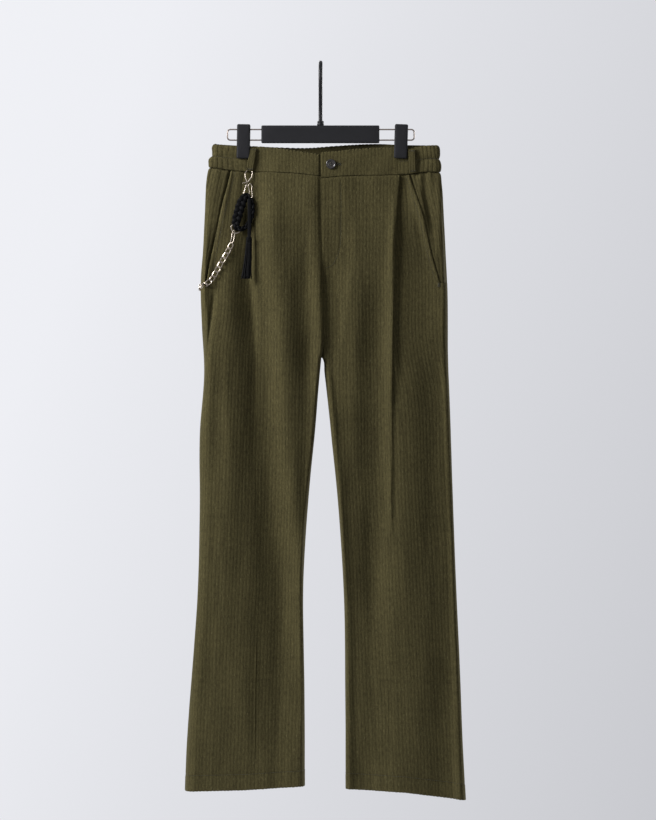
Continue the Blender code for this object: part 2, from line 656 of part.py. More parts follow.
def flat_band(side, finish):
    """One flat front half. The right one runs on under the left one."""
    shares = (0.0, 0.33, 0.67, 1.0)
    outer_rows, inner_rows = [], []
    half = WALE_PITCH / 2
    for share in shares:
        level = WAIST_SEAM + (BAND_TOP - WAIST_SEAM) * share
        out, y = base_line("left", "front", level)
        ring = np.vstack([np.column_stack([-out[::-1], mirrored(level)]),
                          np.column_stack([out, y])[1:]])
        width = np.concatenate([[0.0], np.cumsum(np.hypot(*np.diff(ring, axis=0).T))])
        width -= np.interp(0.0, ring[:, 0], width)
        low, high = {"left": (SEAM_GAP, JOIN["left"]),
                     "right": (-JOIN["right"], UNDERLAP)}[side]
        low, high = (float(np.interp(v, ring[:, 0], width)) for v in (low, high))
        low, high = ((low, high - SEAM_GAP / 2) if side == "left"
                     else (low + SEAM_GAP / 2, high))
        count_low, count_high = int(-low / half) + 1, int(high / half) + 1
        wales = np.arange(-max(count_low, 1), count_high + 1) * half
        for rows, every, inside in ((outer_rows, 1, False), (inner_rows, 3, True)):
            widths = clamp(wales[::every], low, high)
            widths[0], widths[-1] = low, high
            x = np.interp(widths, width, ring[:, 0])
            y_line = np.interp(widths, width, ring[:, 1])
            free = 1 - 0.8 * np.array([pinch(v, BAND_TOP) for v in x])
            crest = np.abs(np.round(widths / half).astype(int)) % 2
            ends = ease(np.minimum(widths - low, high - widths) / (3 * MM))
            offset = 0.6 * WALE_HEIGHT * crest * ends * free
            if inside:
                offset = np.full(len(widths), -BAND_WALL)
            tucked = ease((widths + 12 * MM) / (12 * MM)) if side == "right" else 0.0
            if side == "right" and not inside:
                offset = offset * (1 - tucked)
            recess = tucked * (BAND_WALL + LAYER_GAP)
            points = np.column_stack([x, y_line - offset + recess,
                                      band_height(x, y_line, share, side)])
            rows.append((points, widths))
    outer_rows.reverse()
    inner_rows.reverse()
    name = "waistband_front_" + side
    return add_object(name, thick_sheet(name, outer_rows, inner_rows), finish)


def mirrored(level):
    """y of the right half's front line, at the left half's places."""
    out, y = base_line("right", "front", level)
    places = base_line("left", "front", level)[0][::-1]
    return np.interp(places, out, y)


def strap(name, path, width, wall, finish):
    """A flat strap along a path of (x, y, z), its flat side towards -Y or +Y."""
    rows = []
    for x, y, z in path:
        facing = math.copysign(wall, y)
        rows.append([(x - width / 2, y, z), (x + width / 2, y, z),
                     (x + width / 2, y + facing, z), (x - width / 2, y + facing, z)])
    points = np.array(rows).reshape(-1, 3)
    faces = [(0, 1, 2, 3)]
    for r in range(len(rows) - 1):
        for k in range(4):
            a, b = 4 * r + k, 4 * r + (k + 1) % 4
            faces.append((a, b, b + 4, a + 4))
    last = 4 * (len(rows) - 1)
    faces.append((last + 3, last + 2, last + 1, last))
    return add_object(name, mesh_from(name, points, faces), finish)


def surface_y(x, z, face="front"):
    """y of the cloth's ground at a place on the front or the back."""
    side = "left" if x > 0 else "right"
    out, y = base_line(side, face, z)
    return float(np.interp(abs(x), out, y))


def belt_loop(name, x_top, x_bottom, face, finish):
    """A loop from above the seam to the band's top, standing a little off the band."""
    path = []
    for share in np.linspace(0, 1, 8):
        x = x_bottom + (x_top - x_bottom) * share
        level = WAIST_SEAM + (BAND_TOP - WAIST_SEAM) * share
        key = "back" if face == "back" else ("left" if x > 0 else "right")
        z = float(band_height(x, 0, 0.05 + 0.87 * share, key))
        stand = (2.4 + 2.2 * math.sin(math.pi * share)) * MM
        if face == "back" or x > JOIN["left"]:
            stand += 1.6 * MM
        y = surface_y(x, level, face)
        path.append((x, y + math.copysign(stand, y), z))
    return strap(name, path, LOOP_WIDTH, LOOP_WALL, finish)


# ---------------------------------------------------------------- hanger and trims

def box(name, size, centre, finish, edge=0.0, tilt=0.0):
    bpy.ops.mesh.primitive_cube_add(size=1, location=centre, rotation=(0, math.radians(tilt), 0))
    made = bpy.context.active_object
    made.name = name
    made.scale = size
    bpy.ops.object.transform_apply(location=False, rotation=False, scale=True)
    if edge:
        bevel = made.modifiers.new("Rounded edges", "BEVEL")
        bevel.width = edge
        bevel.segments = 2
        bevel.limit_method = "ANGLE"
    made.data.materials.append(finish)
    move_in(made)
    return made


def cylinder(name, radius, length, centre, axis, finish, edge=0.0, sides=32):
    turn = {"x": (0, math.pi / 2, 0), "y": (math.pi / 2, 0, 0), "z": (0, 0, 0)}[axis]
    bpy.ops.mesh.primitive_cylinder_add(vertices=sides, radius=radius, depth=length,
                                        location=centre, rotation=turn)
    made = bpy.context.active_object
    made.name = name
    if edge:
        bevel = made.modifiers.new("Rounded edges", "BEVEL")
        bevel.width = edge
        bevel.segments = 2
        bevel.limit_method = "ANGLE"
    made.data.materials.append(finish)
    made.data.shade_smooth()
    made.data.set_sharp_from_angle(angle=math.radians(40))
    move_in(made)
    return made


def move_in(made):
    for home in list(made.users_collection):
        home.objects.unlink(made)
    bpy.data.collections[COLLECTION].objects.link(made)


def wire(name, points, diameter, finish, closed=False):
    curve = bpy.data.curves.new(name, "CURVE")
    curve.dimensions = "3D"
    curve.bevel_depth = diameter / 2
    curve.bevel_resolution = 2
    curve.use_fill_caps = not closed
    spline = curve.splines.new("POLY")
    spline.points.add(len(points) - 1)
    for point, place in zip(spline.points, points):
        point.co = (*place, 1)
    spline.use_cyclic_u = closed
    return add_object(name, curve, finish)


def arc(centre, radius, start, end, count, plane="yz"):
    """Points of an arc in degrees from the plane's first axis towards its second."""
    points = []
    for angle in np.radians(np.linspace(start, end, count)):
        u, v = radius * math.cos(angle), radius * math.sin(angle)
        offset = {"yz": (0, u, v), "xz": (u, 0, v)}[plane]
        points.append(tuple(c + o for c, o in zip(centre, offset)))
    return points


def hanger(plastic, steel, nickel):
    radius = CROWN_RADIUS + HOOK_WIRE / 2
    crown = (0, 0, -CROWN_RADIUS)
    tip_drop = 12 * MM
    points = [(0, radius - 0.4 * MM, -CROWN_RADIUS - tip_drop)]
    points += arc(crown, radius, 0, 180, 15)
    low, high = BAR_TOP + 8 * MM, -CROWN_RADIUS - 6 * MM
    for share in np.linspace(0, 1, 9):
        points.append((0, -radius * (1 - float(ease(share * 1.25))), high + (low - high) * share))
    wire("hook", points, HOOK_WIRE, steel)
    cylinder("hook_collar", 5.6 * MM, 7 * MM, (0, 0, BAR_TOP + 3.8 * MM), "z", steel, 1 * MM, 20)
    box("bar", BAR_SIZE, (-0.2 * MM, 0, BAR_TOP - BAR_SIZE[2] / 2), plastic, 2 * MM)
    for side, end in SLIDE_ENDS.items():
        way = sign_of(side)
        start = way * (BAR_SIZE[0] / 2 + 0.4 * MM) - 0.2 * MM
        corner = 4.5 * MM
        high, low = SLIDE_LEVELS
        turn = (90, 0) if way > 0 else (90, 180)
        points = [(start, 0, high)]
        points += arc((end - way * corner, 0, high - corner), corner, turn[0], turn[1], 5, "xz")
        turn = (0, -90) if way > 0 else (180, 270)
        points += arc((end - way * corner, 0, low + corner), corner, turn[0], turn[1], 5, "xz")
        points += [(start, 0, low)]
        wire("slide_wire_" + side, points, SLIDE_WIRE, nickel)
    for side, (x, tilt) in CLIPS.items():
        centre_z = JAW_TOP - JAW_SIZE[2] / 2
        for face, way in (("front", -1), ("back", 1)):
            place = (x, way * (JAW_FACE + JAW_SIZE[1] / 2), centre_z)
            box("clip_" + side + "_" + face, JAW_SIZE, place, plastic, 1.6 * MM, tilt)
        middle = (SLIDE_LEVELS[0] + SLIDE_LEVELS[1]) / 2
        cylinder("clip_" + side + "_spring", 3.1 * MM, 13 * MM, (x, 0, middle), "x", nickel, 0, 16)


def button(finish):
    x, z = BUTTON_PLACE
    y = surface_y(x, z) - 0.6 * WALE_HEIGHT - 0.4 * MM - 1.6 * MM
    cylinder("button", BUTTON_RADIUS, 3.0 * MM, (x, y, z), "y", finish, 0.8 * MM, 24)


def flat_tube(name, path, finish, sides=8, closed=False):
    """A tube with an oval section along points of (x, y, z, width, depth) in a front plane."""
    path = np.array(path)
    if closed:
        ahead, behind = np.roll(path, -1, axis=0), np.roll(path, 1, axis=0)
    else:
        ahead = np.vstack([path[1:], path[-1]])
        behind = np.vstack([path[0], path[:-1]])
    along = (ahead - behind)[:, [0, 2]]
    along /= np.hypot(along[:, 0], along[:, 1])[:, None]
    angles = np.linspace(0, 2 * math.pi, sides, endpoint=False)
    across = np.cos(angles)[None, :] * path[:, 3:4] / 2
    points = np.stack([
        path[:, 0:1] + along[:, 1:2] * across,
        path[:, 1:2] + np.sin(angles)[None, :] * path[:, 4:5] / 2,
        path[:, 2:3] - along[:, 0:1] * across], axis=2).reshape(-1, 3)
    rows = len(path)
    faces = [(r * sides + k, r * sides + (k + 1) % sides,
              (r + 1) % rows * sides + (k + 1) % sides, (r + 1) % rows * sides + k)
             for r in range(rows if closed else rows - 1) for k in range(sides)]
    if not closed:
        faces += [tuple(range(sides))[::-1],
                  tuple((rows - 1) * sides + k for k in range(sides))]
    made = add_object(name, mesh_from(name, points, faces), finish)
    made.data.shade_smooth()
    return made


def in_front(x, z, stand):
    """A place a little in front of the right leg's cloth, pleat and wales allowed for."""
    return (x, surface_y(x, z) - PLEAT_LIFT - stand, z)


def wire_path(rows, stand):
    """Points of (x, z) in millimetres, standing in front of the cloth."""
    return [in_front(x * MM, z * MM, stand) for x, z in rows]


def chain_route():
    """The chain lies on the cloth: in front, round the side seam and up to a rear loop."""
    places = []
    for face, rows in (("front", CHAIN_FRONT), ("back", CHAIN_BACK)):
        for from_seam, level in rows:
            section = Section("right", face, level * MM)
            width = section.width[-1] - from_seam * MM
            places.append(section.point(np.array([width]), CHAIN_STAND)[0])
    return places


def through(points, count):
    """A smooth curve through a few points, as evenly spaced ones."""
    points = np.array(points)
    steps = np.linalg.norm(np.diff(points, axis=0), axis=1)
    at = np.concatenate([[0.0], np.cumsum(steps)])
    new = np.linspace(0, at[-1], count)
    return [tuple(p) for p in np.column_stack([smooth(at, points[:, k], new) for k in range(3)])]


def chain_set(metal, leather):
    """The clip-on chain: a clasp in the belt loop, a braided fob, a tassel and the chain."""
    clasp = [(x * MM, surface_y(x * MM, z * MM) - stand * MM, z * MM) for x, z, stand in CLASP]
    wire("clasp", clasp, CLASP_WIRE, metal, closed=True)
    wire("clasp_swivel", wire_path(SWIVEL, 2.6 * MM), 2.6 * MM, metal)
    wire("tassel_ring", wire_path(TASSEL_RING, 5.4 * MM), 1.2 * MM, metal, closed=True)
    fob = [(*in_front(x * MM, z * MM, 4.6 * MM), w * MM, 5.5 * MM) for x, z, w in FOB]
    flat_tube("braided_fob", fob, leather, closed=True)
    wire("fob_ring", wire_path(FOB_RING, 2.4 * MM), 1.8 * MM, metal, closed=True)
    tassel = [(*in_front(x * MM, z * MM, 9.0 * MM + d * MM / 2), w * MM, d * MM)
              for x, z, w, d in TASSEL]
    flat_tube("tassel", tassel, leather, sides=10)
    wire("chain", through(chain_route(), 34), CHAIN_WIDTH, metal)


def main():
    for found in list(bpy.data.objects):
        bpy.data.objects.remove(found)
    home = bpy.data.collections.new(COLLECTION)
    bpy.context.scene.collection.children.link(home)
    cloth = material("corduroy", (0.055, 0.048, 0.021), 0.95)
    plastic = material("black_plastic", (0.012, 0.012, 0.013), 0.55)
    black_steel = material("black_steel", (0.01, 0.01, 0.011), 0.35, 0.6)
    nickel = material("nickel_wire", (0.21, 0.18, 0.16), 0.4, 1.0)
    horn = material("dark_horn", (0.05, 0.04, 0.035), 0.25)
    metal = material("bright_steel", (0.7, 0.7, 0.7), 0.2, 1.0)
    leather = material("black_leather", (0.01, 0.01, 0.011), 0.45)
    for side in ("right", "left"):
        panel(side, "front", cloth)
        panel(side, "back", cloth)
        pocket_facing(side, cloth)
        flat_band(side, cloth)
    elastic_band(cloth)
    belt_loop("belt_loop_right", -107.6 * MM, -111.4 * MM, "front", cloth)
    belt_loop("belt_loop_left", 146 * MM, 147 * MM, "front", cloth)
    belt_loop("belt_loop_back_right", -90 * MM, -90 * MM, "back", cloth)
    belt_loop("belt_loop_back_left", 90 * MM, 90 * MM, "back", cloth)
    belt_loop("belt_loop_back_centre", 0.0, 0.0, "back", cloth)
    hanger(plastic, black_steel, nickel)
    button(horn)
    chain_set(metal, leather)


main()
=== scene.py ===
# Corduroy trousers hanging from a clip hanger, with a clip-on chain.
# Metres, +Z up, the front faces -Y and the wearer's left is +X. Sizes in the tables are in millimetres.

import math

import bmesh
import bpy
import numpy as np
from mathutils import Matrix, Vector


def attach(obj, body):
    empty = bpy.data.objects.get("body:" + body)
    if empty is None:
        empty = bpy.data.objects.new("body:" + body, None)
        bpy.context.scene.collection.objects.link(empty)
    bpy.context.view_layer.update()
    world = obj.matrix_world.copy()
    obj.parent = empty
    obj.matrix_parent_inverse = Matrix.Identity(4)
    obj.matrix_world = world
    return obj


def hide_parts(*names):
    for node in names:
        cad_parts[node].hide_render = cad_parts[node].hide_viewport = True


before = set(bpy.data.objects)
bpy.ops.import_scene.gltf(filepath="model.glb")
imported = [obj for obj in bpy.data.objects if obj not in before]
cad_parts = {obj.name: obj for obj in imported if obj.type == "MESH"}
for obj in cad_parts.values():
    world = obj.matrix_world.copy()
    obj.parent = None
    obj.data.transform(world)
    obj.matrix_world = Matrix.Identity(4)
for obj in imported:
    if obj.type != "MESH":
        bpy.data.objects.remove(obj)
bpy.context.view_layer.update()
mm = 0.001
pi = math.pi
print("frame loaded")


# Tools: tables, curves and colours

def table(columns, rows):
    # rows of numbers read as one named array for each column
    values = np.array(rows, dtype=float)
    return {name: values[:, i] for i, name in enumerate(columns.split())}


def metres(rows):
    # the same names with every length in metres; turn and tilt stay in degrees
    return {name: value * (1.0 if name in ("turn", "tilt") else mm) for name, value in rows.items()}


def smooth(xs, ys, x):
    # a cubic Hermite curve through the points, with slopes from their neighbours, held beyond both ends
    order = np.argsort(xs)
    xs, ys = xs[order], ys[order]
    slopes = np.gradient(ys, xs)
    x = np.clip(x, xs[0], xs[-1])
    i = np.clip(np.searchsorted(xs, x) - 1, 0, len(xs) - 2)
    step = xs[i + 1] - xs[i]
    t = (x - xs[i]) / step
    rise = 3 * t ** 2 - 2 * t ** 3
    bend = slopes[i] * (t - 2 * t ** 2 + t ** 3) + slopes[i + 1] * (t ** 3 - t ** 2)
    return ys[i] * (1 - rise) + ys[i + 1] * rise + step * bend


def ease(t):
    # 0 to 1 along 3t^2 - 2t^3
    t = np.clip(t, 0.0, 1.0)
    return t * t * (3 - 2 * t)


def unit(vectors):
    return vectors / np.maximum(np.linalg.norm(vectors, axis=-1, keepdims=True), 1e-12)


def runLength(points):
    # the way along a line of points from the first of them
    return np.concatenate([[0.0], np.cumsum(np.linalg.norm(np.diff(points, axis=0), axis=1))])


def linear(code, alpha=1.0):
    # an sRGB hex colour as linear light
    parts = np.array([int(code[i:i + 2], 16) / 255 for i in (1, 3, 5)])
    parts = np.where(parts <= 0.04045, parts / 12.92, ((parts + 0.055) / 1.055) ** 2.4)
    return (*parts.tolist(), alpha)


def signOf(side):
    # the wearer's left is +X
    return 1.0 if side == "left" else -1.0


# Tools: meshes

def gridFaces(rows, columns, wrapRows=False, wrapColumns=False):
    # quads between neighbours of a grid numbered row by row; a wrapped side joins its last to its first
    r, c = np.meshgrid(np.arange(rows if wrapRows else rows - 1),
                       np.arange(columns if wrapColumns else columns - 1), indexing="ij")
    nextRow, nextColumn = (r + 1) % rows, (c + 1) % columns
    return np.stack([r * columns + c, r * columns + nextColumn,
                     nextRow * columns + nextColumn, nextRow * columns + c], axis=-1).reshape(-1, 4)


def sweep(path, profile, facing, closed=False):
    # a profile (across, towards facing) carried along a path; the profile may change along it
    path, facing = np.asarray(path, float), np.broadcast_to(facing, np.shape(path))
    ahead = np.roll(path, -1, 0) if closed else np.vstack([path[1:], path[-1:]])
    behind = np.roll(path, 1, 0) if closed else np.vstack([path[:1], path[:-1]])
    along = unit(ahead - behind)
    across = unit(np.cross(along, facing))
    out = np.cross(across, along)
    profile = np.broadcast_to(profile, (len(path),) + np.shape(profile)[-2:])
    points = (path[:, None] + across[:, None] * profile[..., :1] + out[:, None] * profile[..., 1:])
    rows, columns = points.shape[:2]
    faces = gridFaces(rows, columns, closed, True).tolist()
    if not closed:
        faces += [list(range(columns)), list(range((rows - 1) * columns, rows * columns))]
    return points.reshape(-1, 3), faces


def oval(across, out, sides=12):
    # rings of points at (across cos t, out sin t), one for each pair of radii
    angles = np.linspace(0, 2 * pi, sides, endpoint=False)
    return np.stack([np.cos(angles) * np.reshape(across, (-1, 1)),
                     np.sin(angles) * np.reshape(out, (-1, 1))], axis=-1)


def tube(path, radius, facing, sides=12, closed=False):
    # a circle carried along a path; open ends are domed over one radius with shrinking rings
    path = np.asarray(path, float)
    radius = np.broadcast_to(radius, len(path)).astype(float)
    if not closed:
        dome = np.radians([90, 62, 34, 10])
        first, last = unit(path[0] - path[1]), unit(path[-1] - path[-2])
        before = path[0] + first * (np.sin(dome) * radius[0])[:, None]
        after = path[-1] + last * (np.sin(dome[::-1]) * radius[-1])[:, None]
        path = np.vstack([before, path, after])
        radius = np.concatenate([np.maximum(np.cos(dome), 0.02) * radius[0], radius,
                                 np.maximum(np.cos(dome[::-1]), 0.02) * radius[-1]])
        facing = np.asarray(facing, float)
        if facing.ndim == 2:
            facing = np.vstack([np.repeat(facing[:1], len(dome), 0), facing,
                                np.repeat(facing[-1:], len(dome), 0)])
    return sweep(path, oval(radius, radius, sides), facing, closed)


def turned(profile, centre, axis="z", sides=40):
    # rows of (radius, height) turned about an axis; the first and last radius may be 0
    profile = np.array(profile, float) * mm
    angles = np.linspace(0, 2 * pi, sides, endpoint=False)
    radius, height = profile[:, :1], np.repeat(profile[:, 1:], sides, 1)
    u, v = radius * np.cos(angles), radius * np.sin(angles)
    order = {"x": (height, u, v), "y": (u, -height, v), "z": (u, v, height)}[axis]
    points = np.stack(order, axis=-1) + np.asarray(centre)
    faces = gridFaces(len(profile), sides, False, True).tolist()
    faces += [list(range(sides)), list(range((len(profile) - 1) * sides, len(profile) * sides))]
    return points.reshape(-1, 3), faces


def softBox(size, centre, radius, tilt=0.0, crown=0.0):
    # a rounded rectangle across x and z, carried through y and drawn in along a quarter circle at both faces,
    # which swell by the crown in the middle
    width, depth, height = size
    edge = min(radius, depth / 2 * 0.98)
    turn = np.radians([0, 22.5, 45, 67.5, 90])
    inset, place = edge * (1 - np.sin(turn)), edge * (1 - np.cos(turn)) - depth / 2
    inset, place = np.concatenate([inset, inset[::-1]]), np.concatenate([place, -place[::-1]])
    corner = np.radians(np.arange(0, 91, 15))
    around = np.concatenate([corner + k * pi / 2 for k in range(4)])
    middles = np.repeat([(1, 1), (-1, 1), (-1, -1), (1, -1)], len(corner), axis=0)
    middles = middles * (np.array([width, height]) / 2 - radius)
    outline = middles + np.column_stack([np.cos(around), np.sin(around)]) * (radius - inset)[:, None, None]
    count = outline.shape[1]
    points = np.stack([outline[..., 0], np.repeat(place[:, None], count, 1), outline[..., 1]], axis=-1)
    for share in (0.75, 0.4):
        shrink, swell = np.array([share, 1, share]), np.array([0, crown * (1 - share ** 2), 0])
        points = np.concatenate([points[:1] * shrink - swell, points, points[-1:] * shrink + swell])
    lean = math.radians(tilt)
    x = points[..., 0] * math.cos(lean) + points[..., 2] * math.sin(lean)
    z = -points[..., 0] * math.sin(lean) + points[..., 2] * math.cos(lean)
    points = np.stack([x, points[..., 1], z], axis=-1) + np.asarray(centre)
    faces = gridFaces(len(points), count, False, True).tolist()
    faces += [list(range(count)), list(range((len(points) - 1) * count, len(points) * count))]
    return points.reshape(-1, 3), faces


def newPiece(name, parts, finish, nodes=(), sharp=50, places=None):
    # one object from several closed shapes: doubles merged, faces turned outwards
    points, faces, start = [], [], 0
    for shapePoints, shapeFaces in parts:
        points.append(shapePoints)
        faces += [[v + start for v in face] for face in shapeFaces]
        start += len(shapePoints)
    points = np.vstack(points)
    mesh = bpy.data.meshes.new(name)
    mesh.from_pydata(points.tolist(), [], faces)
    if places is not None:
        mesh.attributes.new("clothPlace", "FLOAT_VECTOR", "POINT").data.foreach_set(
            "vector", np.asarray(places, np.float32).ravel())
    work = bmesh.new()
    work.from_mesh(mesh)
    bmesh.ops.remove_doubles(work, verts=work.verts, dist=1e-6)
    bmesh.ops.recalc_face_normals(work, faces=work.faces)
    work.to_mesh(mesh)
    work.free()
    mesh.shade_smooth()
    mesh.set_sharp_from_angle(angle=math.radians(sharp))
    piece = bpy.data.objects.new(name, mesh)
    bpy.context.scene.collection.objects.link(piece)
    mesh.materials.append(finish)
    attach(piece, "root")
    if nodes:
        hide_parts(*nodes)
    return piece


# Tools: materials

def addNode(tree, kind, settings=None, links=None):
    node = tree.nodes.new(kind)
    for key, value in (settings or {}).items():
        if isinstance(key, int) or key in node.inputs:
            node.inputs[key].default_value = value
        else:
            setattr(node, key, value)
    for socket, source in (links or {}).items():
        tree.links.new(source, node.inputs[socket])
    return node


def newMaterial(name, shader):
    made = bpy.data.materials.new(name)
    made.use_nodes = True
    tree = made.node_tree
    principled = tree.nodes["Principled BSDF"]
    for socket, value in shader.items():
        principled.inputs[socket].default_value = value
    return made, tree, principled


def colourStops(node, stops):
    ramp = node.color_ramp
    while len(ramp.elements) < len(stops):
        ramp.elements.new(0.5)
    for element, (place, code) in zip(ramp.elements, stops):
        element.position = place
        element.color = linear(code)


corduroyLook = {
    # from the groove to the crest: the darker groove end of this ramp is painted shade in the grooves
    "stops": [(0.0, "#423d26"), (0.3, "#4a442b"), (0.7, "#504a2f"), (1.0, "#524c31")],
    # each kind of unevenness: repeats per wale across and along, and how far it moves the colour
    "wale": (0.9, 0.07, 0.26), "streak": (2.6, 0.75, 0.66), "fibre": (4.5, 2.6, 0.7),
    "mottle": 22.0, "mottleDepth": 0.16,          # patches of lifted and flattened pile, about 45 mm
    "fleck": "#77714f", "pile": 0.45,
}


def corduroyMaterial(name, look):
    # cut cotton pile in cords: matt, with a soft sheen where the fibre ends turn away; the colour darkens
    # towards the grooves, which is painted shade
    made, tree, shader = newMaterial(name, {
        "Roughness": 0.95, "Specular IOR Level": 0.15, "Sheen Weight": 0.3, "Sheen Roughness": 0.35,
        "Sheen Tint": linear("#a39b74")})
    place = addNode(tree, "ShaderNodeAttribute", {"attribute_name": "clothPlace"})
    height = addNode(tree, "ShaderNodeSeparateXYZ", links={0: place.outputs["Vector"]})
    where = addNode(tree, "ShaderNodeTexCoord")
    mottle = addNode(tree, "ShaderNodeTexNoise", {"Scale": look["mottle"], "Detail": 2.0},
                     {"Vector": where.outputs["Object"]})
    ramp = addNode(tree, "ShaderNodeValToRGB", links={"Fac": height.outputs["Z"]})
    colourStops(ramp, look["stops"])
    level = addNode(tree, "ShaderNodeMath", {"operation": "MULTIPLY_ADD", 1: look["mottleDepth"] * 2,
                                             2: 1 - look["mottleDepth"]}, {0: mottle.outputs["Fac"]})
    noises = {}
    for kind in ("wale", "streak", "fibre"):
        across, along, depth = look[kind]
        spread = addNode(tree, "ShaderNodeMapping", {"Scale": (across, along, 0.0)},
                         {"Vector": place.outputs["Vector"]})
        noises[kind] = addNode(tree, "ShaderNodeTexNoise", {"Scale": 1.0, "Detail": 2.0, "Roughness": 0.6},
                               {"Vector": spread.outputs["Vector"]})
        centred = addNode(tree, "ShaderNodeMath", {"operation": "SUBTRACT", 1: 0.5},
                          {0: noises[kind].outputs["Fac"]})
        level = addNode(tree, "ShaderNodeMath", {"operation": "MULTIPLY_ADD", 1: depth * 2},
                        {0: centred.outputs[0], 2: level.outputs[0]})
    base = addNode(tree, "ShaderNodeVectorMath", {"operation": "SCALE"},
                   {0: ramp.outputs["Color"], "Scale": level.outputs[0]})
    lint = addNode(tree, "ShaderNodeMapping", {"Scale": (1.3, 0.33, 0.0)},
                   {"Vector": place.outputs["Vector"]})
    dots = addNode(tree, "ShaderNodeTexVoronoi", {"Scale": 1.0}, {"Vector": lint.outputs["Vector"]})
    spot = addNode(tree, "ShaderNodeMapRange", {"From Min": 0.06, "From Max": 0.16, "To Min": 0.5,
                                                "To Max": 0.0}, {"Value": dots.outputs["Distance"]})
    colour = addNode(tree, "ShaderNodeMix", {"data_type": "RGBA"}, {"Factor": spot.outputs[0]})
    tree.links.new(base.outputs[0], colour.inputs[6])
    colour.inputs[7].default_value = linear(look["fleck"])
    tree.links.new(colour.outputs[2], shader.inputs["Base Color"])
    pile = addNode(tree, "ShaderNodeMath", {"operation": "MULTIPLY_ADD", 1: 0.7},
                   {0: noises["fibre"].outputs["Fac"], 2: noises["streak"].outputs["Fac"]})
    bump = addNode(tree, "ShaderNodeBump", {"Strength": look["pile"], "Distance": 0.5 * mm},
                   {"Height": pile.outputs[0]})
    tree.links.new(bump.outputs["Normal"], shader.inputs["Normal"])
    return made


def grainedMaterial(name, colour, shader, grain, depth, variation=0.12):
    # a moulded, cast or coated surface: an even colour with a fine grain of the given size in millimetres
    made, tree, principled = newMaterial(name, shader)
    where = addNode(tree, "ShaderNodeTexCoord")
    noise = addNode(tree, "ShaderNodeTexNoise", {"Scale": 1 / (grain * mm), "Detail": 3.0},
                    {"Vector": where.outputs["Object"]})
    wide = addNode(tree, "ShaderNodeTexNoise", {"Scale": 60.0, "Detail": 2.0},
                   {"Vector": where.outputs["Object"]})
    level = addNode(tree, "ShaderNodeMath", {"operation": "MULTIPLY_ADD", 1: 2 * variation, 2: 1 - variation},
                    {0: wide.outputs["Fac"]})
    tint = addNode(tree, "ShaderNodeVectorMath", {"operation": "SCALE", 0: linear(colour)[:3]},
                   {"Scale": level.outputs[0]})
    tree.links.new(tint.outputs[0], principled.inputs["Base Color"])
    rough = {"To Min": shader["Roughness"] * 0.85, "To Max": min(shader["Roughness"] * 1.15, 1.0)}
    dull = addNode(tree, "ShaderNodeMapRange", {"From Min": 0.3, "From Max": 0.7, **rough},
                   {"Value": noise.outputs["Fac"]})
    tree.links.new(dull.outputs[0], principled.inputs["Roughness"])
    bump = addNode(tree, "ShaderNodeBump", {"Strength": depth, "Distance": 0.1 * mm},
                   {"Height": noise.outputs["Fac"]})
    tree.links.new(bump.outputs["Normal"], principled.inputs["Normal"])
    return made


corduroy = corduroyMaterial("Wide-wale cotton corduroy", corduroyLook)
# soft twisted thread, a little darker than the cloth
thread = grainedMaterial("Spun polyester thread", "#3c3925",
                         {"Roughness": 0.6, "Sheen Weight": 0.2}, 0.4, 0.5)
# fine spark-eroded grain that spreads the highlights
blackPlastic = grainedMaterial("Moulded black polypropylene", "#242427",
                               {"Roughness": 0.6, "Specular IOR Level": 0.2}, 0.35, 0.25)
# powder baked on wire: half gloss with a faint orange peel
blackSteel = grainedMaterial("Black powder coated steel", "#19191c",
                             {"Roughness": 0.42, "Specular IOR Level": 0.3}, 0.5, 0.3)
# drawn wire under nickel: soft, warm reflections
nickelWire = grainedMaterial("Dull nickel plated wire", "#9a8f88",
                             {"Roughness": 0.38, "Metallic": 1.0}, 0.6, 0.15)
# bright plate, blurred a little by handling
brightSteel = grainedMaterial("Polished chrome plate", "#b8ada0",
                              {"Roughness": 0.3, "Metallic": 1.0}, 0.8, 0.05, 0.04)
# milk plastic polished like horn: cloudy brown grey under a clear shine
darkHorn = grainedMaterial("Polished dark casein", "#2c2827",
                           {"Roughness": 0.22, "Coat Weight": 0.4}, 2.5, 0.05, 0.35)
# waxed cord: nearly black, with a dull shine on its ridges
blackLeather = grainedMaterial("Waxed black leather cord", "#070709",
                               {"Roughness": 0.65, "Specular IOR Level": 0.1}, 0.7, 0.6, 0.25)
print("materials made")


# Stage: camera, light and floor

stage = {
    "camera": (0.012, -8.0, -0.5528), "lens": 219.5,
    "floorLevel": -1.46, "floorRadius": 1.05,
    # the backdrop's colours, darker to the lower right: painted light falling off from the key lamp
    "backdrop": [(0.25, "#bfc0c5"), (0.5, "#dfe0e5"), (0.62, "#eeeff4"), (0.85, "#f6f7fb")],
    "ambient": 0.12, "reflected": 0.45,
}
lamps = table("x y z size power", [
    (-1640, -875, 480, 900, 53),      # key, far round to the left
    (1500, -2600, 300, 1600, 9),      # weak fill from the right
    (1760, 1320, 0, 900, 36),         # along the edges on the right, from behind
    (-700, 2200, 300, 1500, 30)])     # from behind


